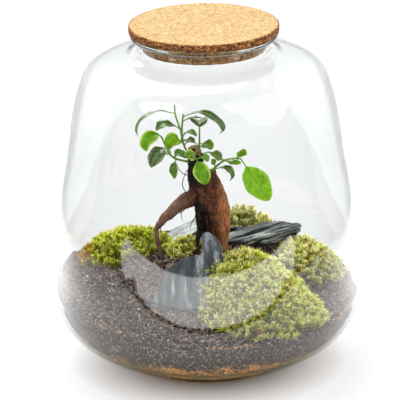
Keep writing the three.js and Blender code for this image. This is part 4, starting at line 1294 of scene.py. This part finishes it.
def cushion(name, moss, material):
    rng = np.random.default_rng(moss.seed)
    feet, normals = moss_shoots(moss, rng)
    count = len(feet)
    rim = ease(moss_reach(moss, feet[:, 0], feet[:, 1]), 0.75, 1.0)
    axis = unit(normals + rng.normal(0, 0.28, (count, 3)) + (0, 0, moss.upright))
    tall = moss.tall * rng.uniform(0.45, 1.25, count) * (1 + 0.35 * rim)
    # moss.bright: partly painted light on the back cushion
    shoot_tone = rng.beta(2, 2, count) + moss.bright
    dry_shoot = rng.random(count) < 0.05
    if name == "moss_left":  # its far end, by the glass, is drying out
        end = ease(-feet[:, 0] + rng.normal(0, 3, count), 74, 84)
        dry_shoot = dry_shoot | (rng.random(count) < end * 0.85)
    parts = [moss_core(moss)]
    core = len(parts[0][0])
    marks = {"tone": [np.full(core, 0.15)], "tip": [np.zeros(core)], "dry": [np.zeros(core)]}
    across = unit(np.cross(axis, rng.normal(size=(count, 3))))
    beside = np.cross(axis, across)
    for place, number, spread, reach in WHORLS:
        turn = rng.uniform(0, 2 * math.pi, count)
        for k in range(number):
            angle = turn + k * 2 * math.pi / number + rng.uniform(-0.35, 0.35, count)
            out = across * np.cos(angle)[:, None] + beside * np.sin(angle)[:, None]
            tilt = spread + rng.uniform(-0.25, 0.25, count)
            ways = unit(axis * np.cos(tilt)[:, None] + out * np.sin(tilt)[:, None])
            length = reach * rng.uniform(2.4, 4.4, count)
            starts = feet + axis * (tall * place - 1.0)[:, None]
            points, corners = leaflets(starts, ways, axis + out * 0.3, length, rng.uniform(0.55, 0.9, count))
            parts.append((points, [corners]))
            tone = np.clip(shoot_tone * 0.7 + 0.38 * place + rng.normal(0, 0.17, count), 0, 1)
            marks["tone"].append(np.repeat(tone, len(TO_TIP)))
            marks["tip"].append(np.tile(TO_TIP * (0.6 + 0.4 * place) + 0.15 * place, count))
            marks["dry"].append(np.repeat(dry_shoot.astype(float), len(TO_TIP)))
    points, blocks = joined(parts)
    points[core:] = kept_in_jar(points[core:])
    mesh = new_mesh(f"{name}_tufts", points, blocks, {key: np.concatenate(v) for key, v in marks.items()})
    add_piece(f"{name}_tufts", mesh, material, "moss", name)


def moss_core(moss):
    """The dense inside of a cushion, a lumpy dome that the tufts stand on."""
    sides, rows = 140, 34
    across, back = moss.place
    angle = full_turn(sides)
    c, s = np.cos(angle), np.sin(angle)
    outline = np.ones(sides)
    for _ in range(20):
        outline = outline / np.maximum(moss_reach(moss, across + outline * c, back + outline * s), 1e-6)
    rings = []
    for share in np.linspace(0.02, 1.03, rows):
        x, y = across + outline * c * share, back + outline * s * share
        z = moss_height(moss, x, y) - CORE_DEPTH
        fit = np.minimum(1, (wall_radius(z) - 1.0) / np.hypot(x, y))
        rings.append(stacked(x * fit, y * fit, z))
    under = rings[-1].copy()
    under[:, 2] = soil_height(under[:, 0], under[:, 1]) - 3
    rings.append(under)
    crown = moss_height(moss, np.array([across]), np.array([back]))[0] - CORE_DEPTH
    points = np.vstack([[across, back, crown], np.concatenate(rings), [across, back, under[:, 2].min()]])
    return points, [faces[:, ::-1] for faces in wound(len(rings), sides)]


# ---- Floor, light and camera ----

BACKDROP = 1.02  # brightness of the white backdrop
FILL = 1.0  # and of the light that comes from all round
DARK_ROOM = 0.03  # what glossy surfaces mirror from the room in front
PALE_ROOM = 0.85  # and from behind
FLOOR_REACH = 6000
FLOOR_LEVEL = -0.05  # just below the jar's foot
FLOOR_TONE = 0.15  # how much light the floor scatters
FLOOR_GLOW = 0.71  # and its own light, which keeps the shadows on it pale
FLOOR_BOUNCE = 0.8  # the floor's own light as matt surfaces get it
FLOOR_IN_GLASS = 0.95  # and as the glass mirrors it, all in all
SIDE_STRIPS = 1.1  # with more at the sides, from strip lights
GLOW_FROM, GLOW_FULL = 0.045, 0.100  # the glow fades in between these distances from the jar's axis, leaving a painted contact shadow round the foot
ROOM_REACH = 22  # how many times farther out than its edge the dark card ends
CARD_LEVEL = 0.3  # how high over the floor the dark card lies, with the lamp's card just above it
LAMP_LEVEL = 0.5
LAMP_GLOW = 3.3
# The white table's edge and the lamp beyond it, as the glass mirrors them, in metres and from left to right.
TABLE = [
    (-0.46, 0.1), (-0.44, -0.06), (-0.41, -0.15), (-0.38, -0.195), (-0.355, -0.22), (-0.33, -0.26),
    (-0.28, -0.28), (-0.17, -0.288), (-0.06, -0.275), (0.06, -0.278), (0.16, -0.284), (0.28, -0.268),
    (0.33, -0.25), (0.36, -0.215), (0.4, -0.15), (0.44, -0.06), (0.46, 0.1),
]
TABLE_FRONT = 0.34  # the table's edge is nearly straight this far to each side
LAMP_GAP = 0.025  # between the lamp and the table's front
LAMP_LEFT = [(-1.1, -0.61), (-0.67, -0.355), (-0.51, -0.28), (-0.38, -0.231), (-0.353, -0.24)]
LAMP_RIGHT = [(0.345, -0.246), (0.38, -0.229), (0.405, -0.228), (0.5, -0.26), (0.71, -0.355), (1.06, -0.555)]
LAMP_FAR = [
    (-1.1, -0.615), (-0.92, -0.605), (-0.6, -0.485), (-0.37, -0.45), (-0.25, -0.45), (0, -0.486),
    (0.3, -0.455), (0.44, -0.458), (0.63, -0.484), (0.95, -0.59), (1.06, -0.557),
]
AIM = Vector((-0.0045, 0, 0.120))  # where the camera looks, and where it stands, in metres
VIEWPOINT = Vector((-0.0045, -2.25, 0.9115))
ROLL = -0.9  # degrees
LENS = 303.3  # millimetres, for a sensor 36 mm wide


def studio():
    table()
    world()
    sun("key", (-0.3, 0.8, 1.1), 45, 4.2)
    sun("left_front", (-0.9, -0.8, 1.0), 40, 1.3)
    sun("right_front", (1.0, -0.5, 1.0), 60, 1.6)
    edge = spline(TABLE, even(120), 0)
    side, front = edge.T
    far = np.column_stack([side * ROOM_REACH, np.where(front < 0, front * ROOM_REACH, front)])
    card("room_in_front", edge, far, CARD_LEVEL, 0.02)
    middle = [(x, y - LAMP_GAP) for x, y in TABLE if abs(x) < TABLE_FRONT]
    across = np.linspace(LAMP_FAR[0][0], LAMP_FAR[-1][0], 400)
    near, beyond = (
        np.column_stack([across, np.interp(across, *np.transpose(line))])
        for line in (LAMP_LEFT + middle + LAMP_RIGHT, LAMP_FAR)
    )
    card("lamp_in_front", near, beyond, LAMP_LEVEL, LAMP_GLOW)


def table():
    """The white floor. Its glow fades out round the jar's foot as a painted contact shadow. The glass
    mirrors it brighter at the sides, and darker near the foot, tinted tan and green as a painted reflection.
    """
    paint = Paint("floor_paint")
    mirrored, scattered = paint.met("Glossy"), paint.met("Diffuse")
    grey = paint.span(paint.noise(400, 2), 0, 1, FLOOR_TONE - 0.02, FLOOR_TONE + 0.02)
    away = paint.node("ShaderNodeVectorMath", {0: paint.place}, operation="LENGTH").outputs["Value"]
    split = paint.node("ShaderNodeSeparateXYZ", {0: paint.place}).outputs
    aside = paint.math("ABSOLUTE", split["X"])
    strips = paint.times(paint.span(aside, 0.12, 0.26), paint.span(aside, 0.3, 0.44, 1, 0))
    strips = paint.times(strips, paint.span(split["Y"], -0.1, 0.08, 0.2, SIDE_STRIPS))
    broad = paint.times(paint.span(away, 0.15, 0.27, 1, 1.35), paint.span(aside, 0.34, 0.45, 1, 0.42))
    broad = paint.times(broad, FLOOR_IN_GLASS)
    in_glass = paint.times(paint.math("ADD", broad, strips), paint.span(away, 0.08, 0.14, 0.22, 1))
    # the floor's own glow, faded out near the foot: a painted contact shadow
    glow = paint.span(away, GLOW_FROM, GLOW_FULL, 0, FLOOR_GLOW)
    glow = paint.between(scattered, paint.between(mirrored, glow, in_glass), FLOOR_BOUNCE)
    # painted reflection: near the foot the glass mirrors a tan and green glow, standing in for the sand
    sandy = paint.times(mirrored, paint.span(away, 0.075, 0.125, 1, 0))
    painted_foot_reflection = paint.ramp(paint.noise(11, 3), (0.4, 232, 188, 118), (0.6, 156, 158, 124))
    tint = paint.mix(sandy, (1, 1, 1, 1), painted_foot_reflection)
    look = {
        "Base Color": paint.between(mirrored, grey, 0.0), "Roughness": 0.7, "Emission Color": tint,
        "Emission Strength": glow,
    }
    corners = np.array([(-1, -1, 0), (1, -1, 0), (1, 1, 0), (-1, 1, 0)]) * FLOOR_REACH + (0, 0, FLOOR_LEVEL)
    made = in_scene("floor", new_mesh("floor", corners, [np.array([(0, 1, 2, 3)])]))
    made.data.materials.append(paint.finish(paint.node("ShaderNodeBsdfPrincipled", look).outputs[0]))


def world():
    """A white backdrop, soft light from all round, and a dark room in front for glass to mirror."""
    made = bpy.data.worlds.new("studio")
    made.use_nodes = True
    nodes = Nodes(made.node_tree)
    way = nodes.node("ShaderNodeTexCoord").outputs["Generated"]
    ahead = nodes.node("ShaderNodeSeparateXYZ", {0: way}).outputs["Y"]
    room = nodes.span(ahead, -0.15, 0.4, DARK_ROOM, PALE_ROOM)
    clear = nodes.between(nodes.met("Glossy"), BACKDROP, room)
    background = nodes.tree.nodes["Background"]
    background.inputs["Color"].default_value = (1, 1, 1, 1)
    nodes.tree.links.new(nodes.between(nodes.met("Diffuse"), clear, FILL), background.inputs["Strength"])
    bpy.context.scene.world = made


def sun(name, way, spread, power):
    """Soft light from one side, as of a large softbox far away."""
    light = bpy.data.lights.new(name, "SUN")
    light.angle = math.radians(spread)
    light.energy = power
    lamp = in_scene(name, light)
    lamp.rotation_euler = Vector(way).to_track_quat("Z", "Y").to_euler()
    lamp.visible_glossy = False


def card(name, edge, far, height, brightness):
    """A card between two lines in metres that only shows in glossy surfaces."""
    outline = np.vstack([edge, far]) / MM
    points = np.column_stack([outline, np.full(len(outline), height)])
    made = in_scene(name, new_mesh(name, points, [grid_faces(2, len(edge))]))
    paint = Paint(name)
    glow = paint.node("ShaderNodeEmission", {"Strength": brightness}).outputs[0]
    clear = paint.node("ShaderNodeBsdfTransparent").outputs[0]
    made.data.materials.append(paint.finish(paint.shares(paint.met("Glossy"), clear, glow)))
    made.visible_camera = False
    made.visible_diffuse = False
    made.visible_shadow = False


def camera():
    """At the photograph's angle: about 19 degrees down, turned 0.9 degrees about the view."""
    data = bpy.data.cameras.new("camera")
    data.lens = LENS
    data.sensor_width = 36
    data.clip_end = 30
    made = in_scene("camera", data)
    made.location = VIEWPOINT
    made.rotation_mode = "QUATERNION"
    roll = Matrix.Rotation(math.radians(ROLL), 3, "Z").to_quaternion()
    made.rotation_quaternion = (AIM - VIEWPOINT).to_track_quat("-Z", "Y") @ roll
    bpy.context.scene.camera = made


def main():
    bpy.context.scene.view_settings.view_transform = "Standard"
    camera()
    studio()
    glass_jar()
    cork_lid()
    sand_bed()
    soil_bed()
    soil_crumbs()
    trunk()
    green = leaf_material()
    for letter in STEMS:
        leafy_stem(letter, green)
    for name, form in SLATES.items():
        slate(name, **form)
    leaflet = moss_material()
    for name, moss in MOSSES.items():
        cushion(name, moss, leaflet)


main()
